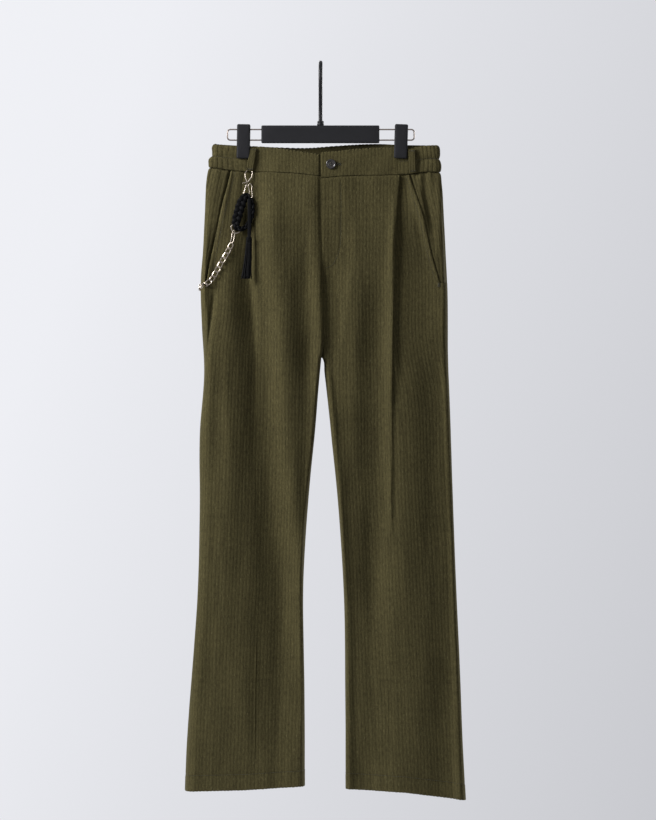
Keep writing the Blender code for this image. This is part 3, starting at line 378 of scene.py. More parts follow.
def makeStage():
    view = bpy.data.cameras.new("Camera")
    view.lens = stage["lens"]
    view.clip_end = 50
    camera = bpy.data.objects.new("Camera", view)
    camera.location = stage["camera"]
    camera.rotation_euler = (pi / 2, 0, 0)
    bpy.context.scene.collection.objects.link(camera)
    bpy.context.scene.camera = camera
    bpy.context.scene.view_settings.view_transform = "Standard"

    world = bpy.data.worlds.new("Studio")
    world.use_nodes = True
    tree = world.node_tree
    where = addNode(tree, "ShaderNodeTexCoord")
    # painted light: the backdrop's colour brightens to the upper left, towards the key lamp
    lean = addNode(tree, "ShaderNodeVectorMath", {"operation": "DOT_PRODUCT", 1: (-1.9, 0.0, 0.7)},
                   {0: where.outputs["Generated"]})
    share = addNode(tree, "ShaderNodeMath", {"operation": "ADD", 1: 0.5}, {0: lean.outputs["Value"]})
    ramp = addNode(tree, "ShaderNodeValToRGB", links={"Fac": share.outputs[0]})
    colourStops(ramp, stage["backdrop"])
    seen = addNode(tree, "ShaderNodeLightPath")
    shown = addNode(tree, "ShaderNodeMath", {"operation": "MULTIPLY_ADD", 1: 1 - stage["ambient"],
                                             2: stage["ambient"]}, {0: seen.outputs["Is Camera Ray"]})
    strength = addNode(tree, "ShaderNodeMath", {"operation": "MULTIPLY_ADD", 1: stage["reflected"]},
                       {0: seen.outputs["Is Glossy Ray"], 2: shown.outputs[0]})
    back = tree.nodes["Background"]
    tree.links.new(ramp.outputs["Color"], back.inputs["Color"])
    tree.links.new(strength.outputs[0], back.inputs["Strength"])
    bpy.context.scene.world = world

    for x, y, z, size, power in zip(*(lamps[name] for name in ("x", "y", "z", "size", "power"))):
        lamp = bpy.data.lights.new("Soft light", "AREA")
        lamp.size = size * mm
        lamp.energy = power
        light = bpy.data.objects.new("Soft light", lamp)
        light.location = Vector((x, y, z)) * mm
        light.rotation_euler = (Vector((0, 0, -0.6)) - light.location).to_track_quat("-Z", "Y").to_euler()
        light.visible_camera = False
        bpy.context.scene.collection.objects.link(light)

    # a round floor of rings at even angles
    sides = 96
    radii = np.array([0.0, 0.35, 0.7, 1.0]) * stage["floorRadius"]
    rings = oval(radii, radii, sides)
    points = np.concatenate([rings, np.full((len(radii), sides, 1), stage["floorLevel"])], axis=-1)
    mesh = bpy.data.meshes.new("Floor")
    mesh.from_pydata(points.reshape(-1, 3).tolist(), [],
                     gridFaces(len(radii), sides, False, True)[:, ::-1].tolist())
    mesh.materials.append(grainedMaterial("Matt floor paint", "#e3e4e8", {"Roughness": 0.8}, 1.5, 0.1, 0.03))
    floor = bpy.data.objects.new("Floor", mesh)
    bpy.context.scene.collection.objects.link(floor)


makeStage()
print("stage made")


# The garment's shape

cloth = metres({
    "wall": 1.2, "bandWall": 2.2, "walePitch": 5.5, "waleHeight": 0.28, "seamGap": 0.03, "layerGap": 0.6,
    "mouthUnderlap": 13, "mouthGap": 0.8, "edgeSnap": 0.35, "flyUnderlap": 7, "flyReach": 60,
    "backStart": 104,      # a back's widths are counted from here, a front's from its pleat
})
hanging = {
    "edgePower": 2.3,      # how square the tube's edges are
    "backShare": 0.5,      # the pleat's hidden fold is this much tighter than its edge
    "leaner": 0.1,         # how much flatter than a full ellipse it hangs
    "leanerOver": 150 * mm,
    "innerRound": (-385 * mm, 84 * mm),     # z below which the inner edges turn in, and over what height
    "frontOwn": (140 * mm, 40 * mm),        # x up to which the front keeps its own height, and the blend
    "pleatStep": 0.2 * mm, "pleatLift": 0.3, "pleatSink": 0.7, "pleatReach": (32 * mm, 30 * mm),
}
levels = metres({"bandTop": -134, "waistSeam": -174, "flyEnd": -336, "pocketEnd": -350, "fork": -469,
                 "hemStitch": -1138, "hem": -1163})
fades = metres({"seam": 150, "hem": 260})
join = metres({"right": 119, "left": 124})       # where the flat band meets the elastic
clips = {"right": (-123.2 * mm, 1.0), "left": (128.8 * mm, 1.8)}    # x and tilt in degrees
# what a clip leaves of the tube's depth, and how it wears off below it
pinchLeaves = metres({"depth": 2.9, "flat": 12, "reach": 34, "top": -150, "fall": 130})
wavePhases = np.array([0.0, 0.14, 0.32, 0.5, 0.68, 0.86])   # columns within one wale

# half widths outwards from the centre plane
sideSeam = {
    "left": metres(table("level seam", [
        (-134, 189), (-174, 191.5), (-200, 194.6), (-242, 197.2), (-300, 200.2), (-358, 202.8), (-473, 204),
        (-550, 207), (-703, 212), (-857, 218), (-934, 221.6), (-1087, 228), (-1176, 233)])),
    "right": metres(table("level seam", [
        (-134, 171), (-140, 172.2), (-149, 172), (-153.5, 173.4), (-158, 176.2), (-168, 177), (-174, 178.2),
        (-190, 181.5), (-242, 185), (-300, 188), (-338, 191), (-415, 189.6),
        (-492, 186), (-588, 192.8), (-703, 193), (-857, 197), (-934, 202.4), (-1087, 213.6),
        (-1176, 217)])),
}
inseam = {
    "left": metres(table("level seam", [
        (-469, 2.6), (-473, 4.4), (-492, 6.2), (-511, 8.4), (-588, 16.8), (-665, 24.8), (-741, 31),
        (-857, 37.6), (-1010, 39.5), (-1176, 41)])),
    "right": metres(table("level seam", [
        (-469, -1.2), (-476, -0.6), (-492, 0.9), (-511, 2.6), (-588, 8.8), (-665, 16.8), (-741, 23),
        (-818, 27), (-1010, 25.5), (-1176, 25)])),
}
centreSeam = metres(table("level front back", [
    (-134, 0, 0), (-174, 0, 0), (-265, 1.6, 0), (-329, 4, 0.5), (-377, 5.6, 1), (-425, 6, 1.4),
    (-455, 4.4, 1.6), (-469, 1.6, 1.6)]))
# how deep the tube stands in front of and behind the middle plane, and the radii of its edges
depths = metres(table("level front back side innerRight innerLeft", [
    (-134, 3.6, 14, 12, 30, 30), (-174, 5.8, 17, 10, 30, 30), (-240, 17, 26, 8, 30, 30),
    (-330, 25, 33, 8, 16, 30), (-469, 29, 34, 13, 6, 24), (-600, 29, 30, 18, 6, 18),
    (-800, 26, 26, 18, 7, 14), (-1000, 27, 27, 18, 8, 14), (-1176, 30, 30, 20, 10, 16)]))
pleatEdge = {
    "left": metres(table("level edge", [
        (-174, 126.5), (-218, 123), (-260, 120.7), (-330, 118.2), (-400, 116.4), (-470, 115), (-640, 114),
        (-780, 111), (-1176, 106)])),
    "right": metres(table("level edge", [
        (-174, 109), (-260, 106), (-330, 104), (-470, 103), (-640, 102), (-780, 101),
        (-1176, 104)])),
}
# the pleat's turn in degrees, its hidden layer's width and its fold's radius: full at the waist, none below
pleatFold = {
    "left": metres(table("level turn width radius", [
        (-174, 176, 14, 1.4), (-300, 174, 6, 1.3), (-420, 168, 3, 1.2), (-500, 125, 2, 1.0), (-560, 40, 1, 1),
        (-620, 10, 1, 1), (-700, 1, 1, 1), (-1176, 1, 1, 1)])),
    "right": metres(table("level turn width radius", [
        (-174, 176, 14, 1.2), (-300, 174, 5, 0.9), (-400, 150, 1.5, 0.6), (-480, 100, 0.8, 0.4),
        (-540, 50, 0.4, 0.4), (-600, 8, 0.4, 0.4), (-660, 1, 1, 1), (-1176, 1, 1, 1)])),
}
pocketMouth = {
    "left": metres(table("level edge", [
        (-174, 142), (-198, 150), (-218, 156.5), (-244, 164.5), (-270, 170.5), (-296, 176), (-320, 182.5),
        (-342, 188.6), (-350, 190.5)])),
    "right": metres(table("level edge", [
        (-174, 143), (-206, 150.6), (-225, 156), (-253, 162.6), (-281, 168.5), (-310, 174.5),
        (-350, 181.5)])),
}
# the wales run along the grain: how far out its middle line lies
grain = {
    "left": metres(table("level place", [(-174, 96), (-470, 96), (-640, 99), (-780, 104), (-1176, 119)])),
    "right": metres(table("level place", [(-174, 84), (-470, 84), (-640, 87), (-780, 91), (-1176, 101)])),
}
# soft folds: a crest or trough runs from start to end, bowed aside in the middle, and falls off over its own
# reach towards the inner and the outer edge
foldColumns = "top bottom start end bow height inner outer fade"
folds = {
    ("left", "front"): metres(table(foldColumns, [
        (-330, -1080, 102, 145, 5, 1.5, 9.5, 17, 160), (-230, -500, 118, 120, -4, 6.5, 7.5, 5, 90),
        (-400, -740, 111, 112, 0, 4.2, 6, 5, 90),
        (-230, -640, 58, 59, 1.5, 4, 17, 25, 100), (-322, -540, 7, 14, 0, -8.6, 5.5, 38, 64),
        (-360, -1300, 93.5, 82, -0.5, -12.5, 45, 22, 160), (-470, -1300, 189, 212, 4.5, -11.5, 38, 10, 160),
        (-480, -860, 8.5, 32.5, 3.5, 12.5, 8, 7, 120), (-700, -1300, 26.5, 39, 3.5, 12.5, 9, 10.5, 160),
        (-174, -300, 117.5, 164.5, 6, -1.5, 7.5, 7.5, 60), (-190, -420, 178, 172, -8, -6, 34, 26, 80),
        (-900, -1300, 89, 96.5, -3.5, 5.5, 23, 13.5, 160), (-174, -330, 68, 59.5, 3.5, -4, 35, 34, 90),
        (-178, -262, 150, 168, 0, 2.5, 7, 5, 30), (-176, -300, 184, 190, 0, 2, 6, 4, 40),
        (-190, -262, 164, 178, 0, -1.5, 4, 4, 40), (-330, -470, 48, 30, 3, 1, 7, 7, 60),
        (-700, -1040, 78, 84, 0, -1.5, 10, 10, 120), (-980, -1300, 66, 60, 0, 1, 8, 8, 90)])),
    ("right", "front"): metres(table(foldColumns, [
        (-322, -540, -7, -14, 0, -8.6, 38, 5.5, 64),
        (-190, -980, 76, 7, 13, 9.5, 23.5, 19, 120), (-330, -1100, 116, 59.5, -14.5, -13.2, 45, 37, 160),
        (-330, -1200, 145.5, 166, -3, 7.5, 43, 45, 160), (-240, -500, 22.5, 17.5, 1, -5, 11, 17.5, 80),
        (-285, -430, 164, 169.5, 3, -8.5, 31, 15, 70),
        (-174, -310, 178, 184, 0, -4, 22, 6, 60), (-880, -1300, 154, 175.5, -2, -4, 45, 35, 140),
        (-430, -760, 18, 26, 0, -5, 14, 14, 100), (-174, -330, 17, 25, -1, 5.5, 18, 30.5, 90),
        (-420, -1300, 186, 214, 0, 3, 16, 9, 160), (-190, -430, 115, 108, 4, -9, 7, 24.5, 80),
        (-390, -640, 106, 104, 0, -1.5, 8, 9, 80),
        (-470, -620, 150, 144, 3, 1.5, 8, 8, 70), (-780, -1300, 62, 70, 0, -2, 13, 13, 140),
        (-196, -300, 128, 120, 0, 1.5, 6, 6, 40), (-365, -470, 169, 181, 1, -3, 3, 3, 40),
        (-405, -470, 185, 187, 0, -2.5, 3, 3, 40),
        (-1000, -1300, 118, 112, 0, 1, 9, 9, 90)])),
    ("left", "back"): metres(table(foldColumns, [
        (-250, -700, 60, 66, 4, -5.0, 22, 18, 120), (-400, -960, 108, 112, -6, 6.5, 24, 18, 140),
        (-820, -1300, 180, 190, 0, -5.0, 20, 12, 140), (-560, -1080, 44, 70, 5, -4.0, 14, 20, 140),
        (-400, -520, 24, 66, -6, 3.4, 10, 9, 60), (-440, -540, 16, 52, -5, -2.8, 8, 7, 60),
        (-470, -590, 30, 70, -4, 2.4, 9, 8, 60), (-300, -560, 142, 150, 0, 2.0, 11, 11, 100),
        (-600, -980, 62, 76, 3, 1.8, 10, 10, 130), (-760, -1300, 140, 134, 0, 1.6, 11, 11, 120),
        (-880, -1300, 84, 78, 0, -1.6, 10, 10, 120), (-520, -800, 176, 172, 3, -1.6, 10, 10, 100)])),
    ("right", "back"): metres(table(foldColumns, [
        (-240, -640, 70, 60, -4, -5.0, 18, 22, 120), (-400, -940, 104, 100, 6, 6.0, 18, 26, 140),
        (-800, -1300, 160, 170, 0, -4.5, 18, 14, 140), (-540, -1040, 40, 62, 5, -3.6, 14, 18, 140),
        (-390, -500, 20, 60, -6, 3.2, 10, 9, 60), (-430, -550, 14, 56, -5, -2.6, 8, 7, 60),
        (-480, -600, 26, 62, -4, 2.2, 9, 8, 60), (-320, -600, 136, 140, 0, 2.0, 11, 11, 100),
        (-560, -940, 60, 70, 3, 1.7, 11, 11, 130), (-700, -1300, 128, 124, 0, 1.6, 12, 12, 120),
        (-860, -1300, 80, 84, 0, -1.6, 10, 10, 120), (-500, -780, 166, 160, 3, -1.6, 10, 10, 100)])),
}
# how the garment hangs: z of the waist seam and of the band's top edge, by x
seamLine = {
    "left": metres(table("x z", [(-30, -179), (0, -181.5), (31, -179), (127, -176.5), (177, -173),
                                 (193, -172.5)])),
    "right": metres(table("x z", [(-181, -165), (-143, -169.5), (-119, -171.5), (-73, -172.5),
                                  (-33, -174.8), (-4, -178), (30, -179)])),
    "back": metres(table("x z", [(-181, -165), (-100, -169), (0, -171), (100, -170), (193, -172.5)])),
}
topLine = {
    "left": metres(table("x z", [(-4, -140.5), (24, -139.2), (47, -136.5), (90, -133.8), (124, -133)])),
    "right": metres(table("x z", [(-119, -130.5), (-73, -133.5), (-49, -137), (-17, -141.5),
                                  (-4, -144), (30, -144.6)])),
    "back": metres(table("x z", [(-181, -126.4), (-119, -130.5), (-73, -132.3), (-17, -133.2),
                                 (22, -130.2), (98, -127.2), (124, -128.5), (193, -129.4)])),
}
hemLine = metres(table("x z", [(-217, -1161), (-122, -1159), (-25, -1153), (41, -1157.5),
                               (136, -1163), (233, -1176)]))


def pinch(x, level):
    # how much of the tube's depth the clips take away: 1 at a clip, a Gaussian beyond its flat half width
    away = np.min([np.abs(x - place) for place, tilt in clips.values()], axis=0) - pinchLeaves["flat"]
    near = np.exp(-(np.maximum(away, 0) / pinchLeaves["reach"]) ** 2)
    return near * (1 - ease((pinchLeaves["top"] - level) / pinchLeaves["fall"]))


def edgeRound(share):
    # how the cloth turns in at an edge: (1 - (1 - t)^p)^(1/p), a quarter circle for p = 2 and squarer above
    power = hanging["edgePower"]
    return (1 - (1 - np.clip(share, 0, 1)) ** power) ** (1 / power)


def baseLine(side, face, level):
    # a half section from the inner edge to the side seam: it turns in at each end and is level between,
    # pressed flat by the clips, plus each fold's Gaussian bump
    row = {name: float(smooth(depths["level"], depths[name], level)) for name in depths}
    turnIn = row["innerLeft" if side == "left" else "innerRight"]
    outer = float(smooth(sideSeam[side]["level"], sideSeam[side]["seam"], level))
    if level >= levels["fork"]:
        inner = signOf(side) * float(smooth(centreSeam["level"], centreSeam[face], level))
    else:
        inner = float(smooth(inseam[side]["level"], inseam[side]["seam"], level))
    inner += cloth["seamGap"] / 2
    turn = 1 - np.cos(np.linspace(0, pi / 2, 25))
    out = np.concatenate([inner + turnIn * turn,
                          np.linspace(inner + turnIn, outer - row["side"], 140)[1:-1],
                          outer - row["side"] * turn[::-1]])
    sideRound = edgeRound((outer - out) / row["side"])
    innerRound = edgeRound((out - inner) / turnIn)
    top, over = hanging["innerRound"]
    flat = math.sqrt(max(1 - float(np.clip((top - level) / over, 0, 1)) ** 2, 0.0))
    innerRound = flat + (1 - flat) * innerRound
    below = float(ease((levels["waistSeam"] - level) / hanging["leanerOver"]))
    full = row[face] * (1 - hanging["leaner"] * below)
    held = pinch(signOf(side) * out, level)
    depth = full + (pinchLeaves["depth"] - full) * held
    rows = folds[side, face]
    share = np.clip((rows["top"] - level) / (rows["top"] - rows["bottom"]), 0, 1)
    place = rows["start"] + (rows["end"] - rows["start"]) * share + 4 * rows["bow"] * share * (1 - share)
    strength = ease((rows["top"] + rows["fade"] / 2 - level) / rows["fade"])
    closing = ease((level - rows["bottom"] + rows["fade"] / 2) / rows["fade"])
    strength = strength * np.where(rows["bottom"] < levels["hem"], 1.0, closing)
    away = out[:, None] - place
    reach = np.where(away < 0, rows["inner"], rows["outer"])
    bumps = np.exp(-(away / reach) ** 2) @ (rows["height"] * strength)
    y = (depth + bumps * (1 - held)) * sideRound * innerRound
    return out, (-y if face == "front" else y)


def pleatLine(side, level):
    # the front half section with its pleat: an arc back under itself, a hidden layer and an arc forward again
    out, y = baseLine(side, "front", level)
    edge = float(smooth(pleatEdge[side]["level"], pleatEdge[side]["edge"], level))
    turn, layer, radius = (float(np.interp(-level, -pleatFold[side]["level"], pleatFold[side][name]))
                           for name in ("turn", "width", "radius"))
    turn = math.radians(turn)
    radii = radius, radius * hanging["backShare"]
    counts = (16, 6, 16)
    lengths = np.concatenate([np.full(n, size / n) for n, size in
                              zip(counts, (radii[0] * turn, layer, radii[1] * turn))])
    bends = np.concatenate([np.full(n, bend / n) for n, bend in zip(counts, (turn, 0.0, -turn))])
    heading = np.cumsum(bends) - bends / 2
    steps = np.cumsum(lengths[:, None] * np.column_stack([np.cos(heading), np.sin(heading)]), axis=0)
    across, back = steps[-1]
    first = edge - radius * math.sin(min(turn, pi / 2))
    last = first + across
    lift, sink = hanging["pleatLift"] * back, hanging["pleatSink"] * back
    before, after = out < first - hanging["pleatStep"], out > last + hanging["pleatStep"]
    nearIn = np.exp(-((first - out[before]) / hanging["pleatReach"][0]) ** 2)
    nearOut = np.exp(-((out[after] - last) / hanging["pleatReach"][1]) ** 2)
    yFirst = float(np.interp(first, out, y)) - lift
    yLast = float(np.interp(last, out, y)) + sink
    foldY = yFirst + steps[:, 1]
    foldY = foldY + (yLast - foldY[-1]) * np.linspace(0, 1, len(steps))
    line = np.vstack([np.column_stack([out[before], y[before] - lift * nearIn]), [[first, yFirst]],
                      np.column_stack([first + steps[:, 0], foldY]),
                      np.column_stack([out[after], y[after] + sink * nearOut])])
    start = int(before.sum())
    return line, start, start + len(steps), (radii[0] * turn, layer, radii[1] * turn), turn


def frontShare(x):
    # how much the front keeps its own height; it blends into the back's towards the side seam
    upTo, over = hanging["frontOwn"]
    return 1 - ease((np.abs(x) - upTo) / over)


def hang(side, face, x, level):
    # z of a level once the garment sags from its clips and its hems tilt
    line = seamLine["back" if face == "back" else side]
    sag = smooth(line["x"], line["z"], x) - levels["waistSeam"]
    tilt = np.interp(x, hemLine["x"], hemLine["z"]) - levels["hem"]
    nearWaist = 1 - ease((levels["waistSeam"] - level) / fades["seam"])
    nearHem = 1 - ease((level - levels["hem"]) / fades["hem"])
    ends = frontShare(x) if face == "front" else 1.0
    shared = smooth(seamLine["back"]["x"], seamLine["back"]["z"], x) - levels["waistSeam"]
    return level + (sag * ends + shared * (1 - ends)) * nearWaist + tilt * nearHem


class Section:
    # one half section at a level, read by the cloth's own width from the pleat's start
    def __init__(self, side, face, level):
        self.side, self.face, self.level = side, face, level
        if face == "front":
            line, start, end, self.fold, self.turn = pleatLine(side, level)
        else:
            line = np.column_stack(baseLine(side, face, level))
            start = end = int(np.argmin(np.abs(line[:, 0] - cloth["backStart"])))
            self.fold, self.turn = (0.0, 0.0, 0.0), 0.0
        self.innerEdge = line[0, 0]
        if face == "front" and side == "right" and level > levels["fork"]:
            # the right front runs on under the left one and lies along its inside
            under = line[0, 0] - cloth["flyUnderlap"] * np.array([1.0, 0.5])
            y = np.interp(-under, *baseLine("left", "front", level))
            line = np.vstack([np.column_stack([under, y]), line])
            start, end = start + 2, end + 2
        self.line = line
        width = runLength(line)
        self.width = width - width[start]
        self.grain = float(np.interp(smooth(grain[side]["level"], grain[side]["place"], level),
                                     np.maximum.accumulate(line[:, 0]), self.width))
        self.foldEnd = self.width[end]
        tangent = unit(np.gradient(line, self.width, axis=0))
        turned = np.column_stack([tangent[:, 1], -tangent[:, 0]])
        self.normal = turned if face == "front" else -turned

    def widthAt(self, place):
        outer = self.width >= self.foldEnd
        return float(np.interp(place, self.line[outer, 0], self.width[outer]))

    def placeOf(self, width):
        return np.interp(width, self.width, self.line[:, 0])

    def point(self, width, offset, forward=0.0, drop=0.0):
        out, y = self.placeOf(width), np.interp(width, self.width, self.line[:, 1])
        out = out + np.interp(width, self.width, self.normal[:, 0]) * offset
        y = y + np.interp(width, self.width, self.normal[:, 1]) * offset - forward
        x = signOf(self.side) * out
        return np.stack([x, y, hang(self.side, self.face, x, self.level) - drop], axis=-1)


def mouthEdge(side, level):
    return float(smooth(pocketMouth[side]["level"], pocketMouth[side]["edge"], level))


def panelLimits(section):
    # the widths at which a panel begins and ends at this level
    gap = cloth["seamGap"] / 2
    low = float(np.interp(section.innerEdge, section.line[:3, 0], section.width[:3])) + gap
    if section.face == "front" and section.side == "right":
        low -= cloth["flyUnderlap"] * float(ease((section.level - levels["fork"]) / cloth["flyReach"]))
    high = section.width[-1] - gap
    if section.face == "front" and section.level > levels["pocketEnd"]:
        high = min(high, section.widthAt(mouthEdge(section.side, section.level)))
    return low, high


def waleShape(phase):
    # rounded cords with narrow grooves: (1 - |2u - 1|^2.6)^0.8 over each wale, from 0 in the groove to 1
    u = np.mod(phase, 1.0)
    return np.maximum(1 - np.abs(2 * u - 1) ** 2.6, 0) ** 0.8


def waves(seed, across, down, width, level, count=7):
    # a sum of sine waves with seeded lengths and phases, about -1 to 1
    chance = np.random.default_rng(seed)
    total = 0.0
    for _ in range(count):
        one = 2 * pi / chance.uniform(*across) * chance.choice([-1, 1])
        two = 2 * pi / chance.uniform(*down)
        total = total + np.sin(one * width + two * level + chance.uniform(0, 2 * pi))
    return total / math.sqrt(count)


drape = {
    "wobble": 0.75 * mm, "wobbleInside": 14 * mm, "wander": 0.5 * mm, "tuck": 2.6 * mm,
    "gather": metres({"front": 1.0, "back": 1.0, "left": 1.3, "right": 0.5}),    # panels, then pocket facings
    "gatherPitch": 17 * mm, "gatherReach": 60 * mm, "gatherInside": 6 * mm,
    "seamDip": 1.9 * mm, "seamReach": 2.6 * mm, "seamPuff": 1.1 * mm, "puffReach": 4 * mm,
    "stitchDip": 0.45 * mm, "stitchReach": 1.5 * mm, "hemLift": 0.25 * mm,
    "flyDip": 0.9 * mm, "flyLift": 1.0 * mm, "flyLiftReach": 11 * mm,
    "mouthLift": metres({"left": 3.6, "right": -1.4}), "mouthReach": metres({"left": 7.5, "right": 6}),
    "slitDepth": metres({"left": 0.5, "right": 3.0}), "slitReach": metres({"left": 2.0, "right": 2.8}),
    "mouthStitch": 7 * mm, "mouthDip": 0.2 * mm, "mouthRim": 0.3 * mm, "mouthEdge": 0.9 * mm,
    "followReach": 10 * mm,
}


def wander(widths, level):
    # the cords stray a little to both sides on their way down
    return drape["wander"] * waves(31, (60 * mm, 160 * mm), (120 * mm, 400 * mm), widths, level)


def mouthLift(section):
    # how far a pocket's lip stands out, as sin^0.6 between its two ends
    along = (levels["waistSeam"] - section.level) / (levels["waistSeam"] - levels["pocketEnd"])
    return drape["mouthLift"][section.side] * max(math.sin(pi * along), 0) ** 0.6


def bodyShift(section, widths, low, high, onFacing=False):
    # how far both walls move out of the section: long soft waves, gathers under the elastic, dips at seams
    level = section.level
    fromEdge = np.minimum(widths - low, high - widths)
    inside = ease(fromEdge / drape["wobbleInside"])
    seed = {"left": 10, "right": 20}[section.side] + (section.face == "back")
    shift = drape["wobble"] * waves(seed, (38 * mm, 120 * mm), (260 * mm, 900 * mm), widths, level) * inside
    below = levels["waistSeam"] - level
    place = section.placeOf(widths)
    elastic = 1.0 if section.face == "back" else ease((place - join[section.side] + 4 * mm) / (16 * mm))
    phase = (2 * pi * widths / drape["gatherPitch"] + 1.2 * np.sin(widths / (23 * mm) + seed)
             + 0.9 * np.sin(level / (38 * mm)))
    reach = drape["gatherReach"] * (0.7 + 0.5 * np.sin(widths / (31 * mm) + 2 * seed) ** 2)
    gather = drape["gather"][section.side if onFacing else section.face]
    held = ease(fromEdge / drape["gatherInside"])
    shift = shift + gather * elastic * np.sin(phase) * np.exp(-below / reach) * held
    shift = shift - drape["seamDip"] * np.exp(-below / drape["seamReach"])
    puff = below / drape["puffReach"]
    shift = shift + drape["seamPuff"] * puff * np.exp(1 - puff)
    if not onFacing and section.face == "front" and level > levels["pocketEnd"]:
        fromLip = (high - widths) / drape["mouthReach"][section.side]
        shift = shift + mouthLift(section) * np.exp(-fromLip ** 2)
    return shift


flyStitch = metres(table("x z", [(32.8, -184), (32.8, -240), (32.6, -270), (31.6, -289), (28, -304),
                                 (21.4, -318.7), (13, -324.6), (5.6, -327.7)]))


def toFlyStitch(points):
    # distance in the front plane to the fly's stitch line
    line = np.column_stack([flyStitch["x"], flyStitch["z"]])
    best = np.full(len(points), 1.0)
    for a, b in zip(line[:-1], line[1:]):
        t = np.clip(((points - a) @ (b - a)) / ((b - a) @ (b - a)), 0, 1)
        best = np.minimum(best, np.linalg.norm(points - a - t[:, None] * (b - a), axis=1))
    return best


def outerRelief(section, widths, low, high):
    # wales at their pitch, level at edges and in the pleat, with the stitched dips of hem and pocket mouth
    level = section.level
    fromEdge = np.minimum(widths - low, high - widths)
    phase = (widths - section.grain - wander(widths, level)) / cloth["walePitch"]
    uneven = waves(61, (1.4, 5), (60 * mm, 240 * mm), np.floor(phase), level)
    cord = waleShape(phase) * (0.8 + 0.2 * uneven)
    fromSeam = section.placeOf(widths) - section.innerEdge
    share = cord * ease(fromEdge / (2.2 * mm)) * ease(fromSeam / (4 * mm))
    hidden = ease((widths + 2.4 * mm) / (1.6 * mm))
    hidden = hidden * ease((section.foldEnd + 4.2 * mm - widths) / (1.6 * mm))
    share = share * (1 - hidden * ease((section.turn - math.radians(50)) / math.radians(60)))
    below = levels["waistSeam"] - level
    share = share * (0.35 + 0.65 * ease(below / (4 * mm)))
    relief = cloth["waleHeight"] * share
    dip = math.exp(-((level - levels["hemStitch"]) / drape["stitchReach"]) ** 2)
    relief = relief - drape["stitchDip"] * dip * (0.5 + 0.5 * share)
    relief = relief + drape["hemLift"] * float(ease((levels["hemStitch"] - level) / (3 * mm)))
    if section.face == "front" and level > levels["pocketEnd"]:
        fromMouth = high - widths
        fromStitch = drape["mouthStitch"] - fromMouth
        rim = ease(fromStitch / (2 * mm)) * ease(fromMouth / (1.2 * mm))
        relief = relief + drape["mouthRim"] * rim
        relief = relief - drape["mouthEdge"] * (1 - ease(fromMouth / (1.4 * mm)))
        relief = relief - drape["mouthDip"] * np.exp(-(fromStitch / (1.2 * mm)) ** 2)
    return relief, cord


def flyLift(section, widths):
    # along the fly the left front's folded edge lies over the right front, which sinks under it
    if section.face == "back":
        return np.zeros(np.shape(widths))
    foot = levels["flyEnd" if section.side == "left" else "fork"]
    above = ease((section.level - foot) / cloth["flyReach"])
    fromEdge = section.placeOf(widths) - section.innerEdge
    if section.side == "left":
        return above * drape["flyLift"] * np.exp(-(fromEdge / drape["flyLiftReach"]) ** 2)
    return -above * (cloth["wall"] + cloth["layerGap"]) * ease((6 * mm - fromEdge) / (7 * mm))


def clamp(widths, low, high):
    # widths held between two edges, and drawn onto an edge from close by
    held = np.clip(widths, low, high)
    held = np.where(held < low + cloth["edgeSnap"], low, held)
    return np.where(held > high - cloth["edgeSnap"], high, held)


def closedSheet(name, outer, inner, picked, outerPlaces, innerPlaces, nodes, notch=None, sharp=55):
    # a wall between two grids that share their rows; the inner one has only the picked columns.
    # A notch (row, column) leaves out what is above that row and beyond that column.
    outer, inner = np.array(outer), np.array(inner)
    rows, columns = outer.shape[:2]
    picks = len(picked)
    start = rows * columns
    step, cut = notch if notch else (0, columns - 1)
    cutPick = int(np.searchsorted(picked, cut))
    quads = gridFaces(rows, columns)
    r, c = quads[:, 0] // columns, quads[:, 0] % columns
    faces = quads[(r >= step) | (c < cut)].tolist()
    quads = gridFaces(rows, picks)
    r, c = quads[:, 0] // picks, quads[:, 0] % picks
    faces += (quads[(r >= step) | (c < cutPick)][:, ::-1] + start).tolist()

    def sideRim(column, pick, first, last):
        r = np.arange(first, last)
        a, b = r * columns + column, start + r * picks + pick
        return np.stack([a, b, b + picks, a + columns], axis=1).tolist()

    def endRim(row, first, last):
        chosen = np.arange(np.searchsorted(picked, first), np.searchsorted(picked, last) + 1)
        middle = (picked[chosen][:-1] + picked[chosen][1:]) / 2
        j = np.arange(first, last)
        owner = chosen[np.searchsorted(middle, j + 0.5)]
        tris = np.stack([row * columns + j, row * columns + j + 1, start + row * picks + owner], 1).tolist()
        pivot = np.ceil(middle - 0.5).astype(int)
        tris += np.stack([start + row * picks + chosen[1:], start + row * picks + chosen[:-1],
                          row * columns + pivot], axis=1).tolist()
        return tris

    faces += sideRim(0, 0, 0, rows - 1) + sideRim(cut, cutPick, 0, step)
    faces += sideRim(columns - 1, picks - 1, step, rows - 1)
    faces += endRim(0, 0, cut) + endRim(rows - 1, 0, columns - 1)
    if notch:
        faces += endRim(step, cut, columns - 1)
    points = np.vstack([outer.reshape(-1, 3), inner.reshape(-1, 3)])
    places = np.vstack([np.array(outerPlaces).reshape(-1, 3), np.array(innerPlaces).reshape(-1, 3)])
    return newPiece(name, [(points, faces)], corduroy, nodes, sharp, places)


def clothPlaces(across, level, share):
    # what the cloth's colour reads: wales across, wale pitches down and how far up the pile this is; low in
    # the pile the colour is darker, painted shade in the grooves
    pitch = cloth["walePitch"]
    down = np.full(len(across), level / pitch)
    return np.stack([across / pitch, down, np.broadcast_to(share, len(across))], axis=1)


